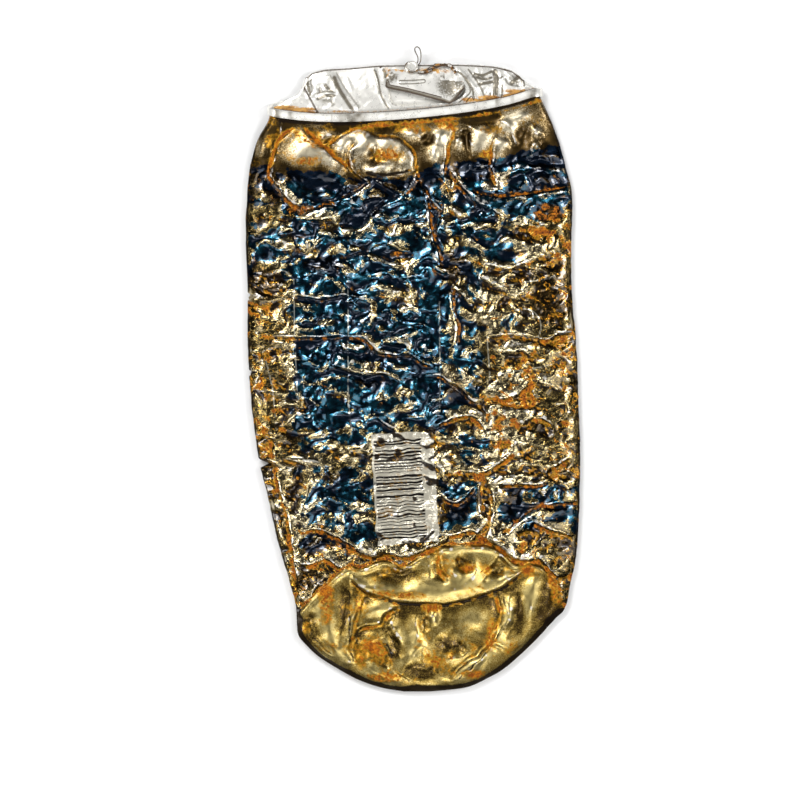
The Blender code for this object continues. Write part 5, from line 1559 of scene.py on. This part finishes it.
# the colour of grime and of painted shade
GRIME_AND_SHADE = (0.012, 0.007, 0.004)
# The grey stands mostly for painted shade on the bright end.
ALUMINIUM, ALUMINIUM_GREY = (0.94, 0.92, 0.86), (0.20, 0.175, 0.13)
INSIDE_LIGHT, INSIDE_DARK = (0.94, 0.90, 0.76), (0.06, 0.05, 0.03)
STAIN_LIGHT, STAIN_DARK = (0.70, 0.36, 0.07), (0.26, 0.10, 0.015)
# the dark of the painted shade along edges and folds
EDGE_BROWN = (0.055, 0.030, 0.015)
NECK_FROM, NECK_TO = 50.0, 62.0  # the lacquer changes to the neck's over these heights
BASE_FROM, BASE_TO = -30.0, -20.0  # and to the base's over these
BAR_SIDES = (0.035, PANEL_BARS_RIGHT)  # the bars' ends, as shares of their panel's width
BAR_ENDS = (0.06, 0.965)  # the first and last bars, as shares of its height


def lacquer(n, smooth_part, medium, blue):
    """The colour of the gold lacquer and the blue ink on it."""
    height = n.fill(n.new("ShaderNodeSeparateXYZ"), "Y", Vector=n.place())
    on_neck = n.span(height, NECK_FROM, NECK_TO)
    on_base = smooth_part * n.span(height, BASE_FROM, BASE_TO, 1.0, 0.0)
    # The tone mask carries painted light and shade: the dark, deep and light golds stand partly for shaded
    # and lit metal.
    tone = n.mask("tone") + (n.noise(0.1, 3) - 0.5) * 0.5
    tone = tone + (n.noise(2.4, 2) - 0.5) * (smooth_part * 1.1) - on_neck * 0.09
    deep = n.mix(on_base, n.mix(on_neck, GOLD_DEEP, NECK_DEEP), BASE_DEEP)
    light = n.mix(on_base, n.mix(on_neck, GOLD, NECK_GOLD), BASE_GOLD)
    gold = n.mix(n.span(tone, 0.12, 0.48), GOLD_DARK, deep)
    gold = n.mix(n.span(tone, 0.42, 0.80), gold, light)
    ink = n.mix(n.span(medium, 0.35, 0.65), BLUE_DEEP, BLUE_INK)
    ink = n.mix(n.span(tone, 0.10, 0.50), BLUE_BLACK, ink)
    return n.mix(blue, gold, ink)


def between(n, value, low, high, edge=0.005):
    """1 from low to high, and 0 outside them."""
    return n.span(value, low, low + edge) * n.span(value, high, high + edge, 1.0, 0.0)


def bar_panel(n):
    """The pale panel, and its dark bars of uneven width."""
    across, down = n.mask("panel_x"), n.mask("panel_y")
    panel = between(n, across, -0.002, 0.998, 0.004) * between(n, down, -0.002, 0.998, 0.004)
    step = down * PANEL_BARS
    random = n.new("ShaderNodeTexWhiteNoise", noise_dimensions="1D")
    width = n.span(n.fill(random, "Value", W=n.math("FLOOR", step)), 0.0, 1.0, 0.18, 0.72)
    bars = n.math("LESS_THAN", n.math("FRACT", step), width)
    return panel, bars * between(n, across, *BAR_SIDES) * between(n, down, *BAR_ENDS) * panel


def rust_colour(n, smooth_part):
    """Orange and brown rust with dark specks."""
    colour = n.mix(n.span(n.noise(0.8, 3), 0.40, 0.60), RUST_MIDDLE, RUST_LIGHT)
    specks = n.span(n.noise(1.9, 2), 0.50, 0.60) * n.span(smooth_part, 0.0, 1.0, 1.0, 0.45)
    return n.mix(specks, colour, RUST_DARK)


def body_material():
    """Lacquered steel with pale and black print, rubbed bare, dirty, stained and rusted, with painted light
    and shade in its tone, wear and grime.
    """
    material = bpy.data.materials.new("rusted_lacquered_steel")
    n = Nodes(material)
    fine, medium = n.noise(1.1, 3), n.noise(0.4, 3)
    uneven = fine - 0.5
    smooth_part = 1.0 - n.mask("field")
    panel, bars = bar_panel(n)
    blue = n.span(n.mask("blue") + uneven * 0.9, -0.08, 0.10)
    pale = n.math("MAXIMUM", n.span(n.mask("pale") + uneven * 0.35, 0.20, 0.34, 0.6, 0.0), panel)
    wear = n.span(n.mask("wear") + uneven * 1.2, 0.55, 1.0, 0.0, 0.9)
    dirt = n.span(n.mask("dirt") + uneven * 0.8, 0.50, 1.00, 0.0, 0.975)
    stain = n.span(n.mask("rust") + uneven * 0.6, 0.12, 0.40, 0.0, 0.85) * n.span(panel, 0.0, 1.0, 1.0, 0.35)
    rust = n.span(n.mask("rust") + uneven * 1.3 - panel * 0.3, 0.40, 0.54)

    colour = lacquer(n, smooth_part, medium, blue)
    colour = n.mix(pale * 0.85, colour, PALE_INK)
    colour = n.mix(bars, colour, BLACK_INK)
    # worn bare metal, and painted highlights along crests
    colour = n.mix(wear, colour, BARE_AND_HIGHLIGHT)
    # grime, and painted shade
    colour = n.mix(dirt, colour, n.mix(blue, GRIME_AND_SHADE, BLUE_BLACK))
    colour = n.mix(stain, colour, n.mix(blue * 0.85, AMBER, AMBER_DEEP))
    colour = n.mix(rust, colour, rust_colour(n, smooth_part))
    metal = (1.0 - rust) * (1.0 - pale * 0.5) * n.span(dirt, 0.2, 0.9, 1.0, 0.6)
    rough = n.span(medium, 0.3, 0.7, 0.15, 0.26) + smooth_part * 0.17 + wear * 0.16 + rust * 0.42
    coat = (1.0 - rust) * n.span(smooth_part, 0.0, 1.0, 1.0, 0.12) * n.span(dirt, 0.0, 0.9, 1.0, 0.35)
    crinkle = n.math("ABSOLUTE", n.noise(0.62, 2, 0.6, (0.8, 1.2, 1.0), 0.6) - 0.5)
    crinkle = crinkle * (n.mask("field") * n.span(blue, 0.0, 1.0, 1.0, 0.3))
    normal = n.bump(crinkle, 0.40, 0.9, n.bump(n.noise(1.6, 3), 0.06, 0.3))
    normal = n.bump(fine * rust, 0.5, 0.3, normal)
    n.fill(
        n.shader, 0, Base_Color=colour, Metallic=metal, Roughness=rough, Coat_Weight=coat, Normal=normal,
        Specular_IOR_Level=0.15, Coat_Roughness=0.09,
    )
    return material


def end_material(name, metallic, roughness):
    """Bright aluminium with grey painted shade in dents and beside folds, stains, dark edges of painted
    shade, and scratched metal inside the mouth.
    """
    material = bpy.data.materials.new(name)
    n = Nodes(material)
    fine, medium = n.noise(1.6, 3), n.noise(0.5, 3)
    uneven = fine - 0.5
    grey = n.span(n.mask("grey") + uneven * 0.28, 0.2, 0.9, 0.0, 0.95)
    stain = n.span(n.mask("stain") + uneven * 0.9, 0.35, 0.8, 0.0, 0.95)
    dark = n.span(n.mask("dark") + uneven * 0.35, 0.30, 0.72, 0.0, 0.95)
    scratch = n.span(n.noise(0.9, 4, 0.7, (1.0, 3.2, 1.0), 1.5), 0.42, 0.56)

    colour = n.mix(grey, ALUMINIUM, ALUMINIUM_GREY)
    colour = n.mix(n.mask("mouth"), colour, n.mix(scratch, INSIDE_DARK, INSIDE_LIGHT))
    colour = n.mix(stain, colour, n.mix(n.span(medium, 0.35, 0.62), STAIN_DARK, STAIN_LIGHT))
    colour = n.mix(dark, colour, EDGE_BROWN)
    metal = (1.0 - stain) * (1.0 - dark) * metallic
    rough = n.span(medium, 0.3, 0.7, roughness - 0.05, roughness + 0.08)
    n.fill(
        n.shader, 0, Base_Color=colour, Metallic=metal, Roughness=rough, Specular_IOR_Level=0.15,
        Normal=n.bump(fine, 0.015, 0.3),
    )
    return material


# ------------ the scene

WORLD_LOW, WORLD_HIGH = 0.04, 0.42  # the world's light near the floor and overhead
WORLD_FROM, WORLD_TO = 0.25, 0.95  # how steeply upward those begin and end
CAMERA_AT, VIEW_WIDTH, CAMERA_HEIGHT, SENSOR = (-4.06, -9.52), 250.6, 950.0, 36.0
LIGHTS_AIM = (0, -10, 0)
# Rectangular lights: name, place, size, radiance.
SOFTBOXES = [
    ("broad_left", (-330, 300, 560), (460, 420), 2.2),
    ("broad_right", (430, -60, 520), (300, 560), 2.0),
    ("broad_low", (-60, -470, 500), (560, 260), 1.9),
    ("key", (-260, 380, 520), (190, 130), 22.0),
    ("right", (470, 120, 420), (80, 300), 20.0),
    ("left", (-500, -140, 380), (70, 260), 18.0),
    ("low", (140, -430, 520), (240, 60), 18.0),
]
FLOOR_GREY, FLOOR_ROUGH, FLOOR_DROP, FLOOR_SIZE = (0.92, 0.92, 0.92), 0.9, 0.02, 1500


def set_camera():
    """The camera, straight above."""
    scene = bpy.context.scene
    camera = bpy.data.cameras.new("camera")
    camera.sensor_width = SENSOR
    camera.lens = SENSOR * CAMERA_HEIGHT / VIEW_WIDTH
    camera.clip_start = 0.01
    viewer = bpy.data.objects.new("camera", camera)
    viewer.location = Vector((*CAMERA_AT, CAMERA_HEIGHT + PLATEAU_Z)) * MM
    scene.collection.objects.link(viewer)
    scene.camera = viewer
    scene.view_settings.view_transform = "Standard"
    scene.view_settings.look = "None"


def add_softbox(name, spot, size, radiance):
    """A rectangular light aimed at the can's middle."""
    light = bpy.data.lights.new(name, "AREA")
    light.shape, light.size, light.size_y = "RECTANGLE", size[0] * MM, size[1] * MM
    light.energy = radiance * math.pi * light.size * light.size_y
    lamp = bpy.data.objects.new(name, light)
    lamp.location = Vector(spot) * MM
    lamp.rotation_euler = (Vector(LIGHTS_AIM) * MM - lamp.location).to_track_quat("-Z", "Y").to_euler()
    bpy.context.scene.collection.objects.link(lamp)


def set_world():
    """A dim grey world that is brighter overhead."""
    world = bpy.data.worlds.new("studio")
    n = Nodes(world, "Background")
    direction = n.fill(n.new("ShaderNodeTexCoord"), "Generated")
    up = n.fill(n.new("ShaderNodeSeparateXYZ"), "Z", Vector=direction)
    bright = n.fill(
        n.new("ShaderNodeMapRange"), "Result", Value=up, From_Min=WORLD_FROM, From_Max=WORLD_TO,
        To_Min=WORLD_LOW, To_Max=WORLD_HIGH,
    )
    n.fill(n.shader, 0, Strength=bright)
    bpy.context.scene.world = world


def set_floor():
    """A pale, matt floor under the can."""
    mesh = bmesh.new()
    bmesh.ops.create_grid(mesh, x_segments=1, y_segments=1, size=FLOOR_SIZE * MM)
    data = bpy.data.meshes.new("floor")
    mesh.to_mesh(data)
    mesh.free()
    paper = bpy.data.materials.new("pale_floor")
    n = Nodes(paper)
    n.fill(n.shader, 0, Base_Color=FLOOR_GREY, Roughness=FLOOR_ROUGH)
    data.materials.append(paper)
    floor = bpy.data.objects.new("floor", data)
    floor.location.z = -FLOOR_DROP * MM
    bpy.context.scene.collection.objects.link(floor)


def dress(piece, material, node):
    """Gives the piece its material, hangs it under the root body, and hides the part's own mesh."""
    piece.data.materials.append(material)
    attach(piece, "root")
    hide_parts(node)


def main():
    """Builds the seven pieces and the scene round them."""
    dress(body_piece(body_maps(Raster())), body_material(), "can_body")
    bright = end_material("stained_aluminium", 0.45, 0.30)
    for piece in (end_piece(), flap_piece(), curl_piece(), rivet_piece()):
        dress(piece, bright, "can_end")
    tab = end_material("worn_tab_aluminium", 0.75, 0.28)
    for piece in (island_piece(), loop_piece()):
        dress(piece, tab, "tab_stub")
    set_camera()
    for softbox in SOFTBOXES:
        add_softbox(*softbox)
    set_world()
    set_floor()


main()
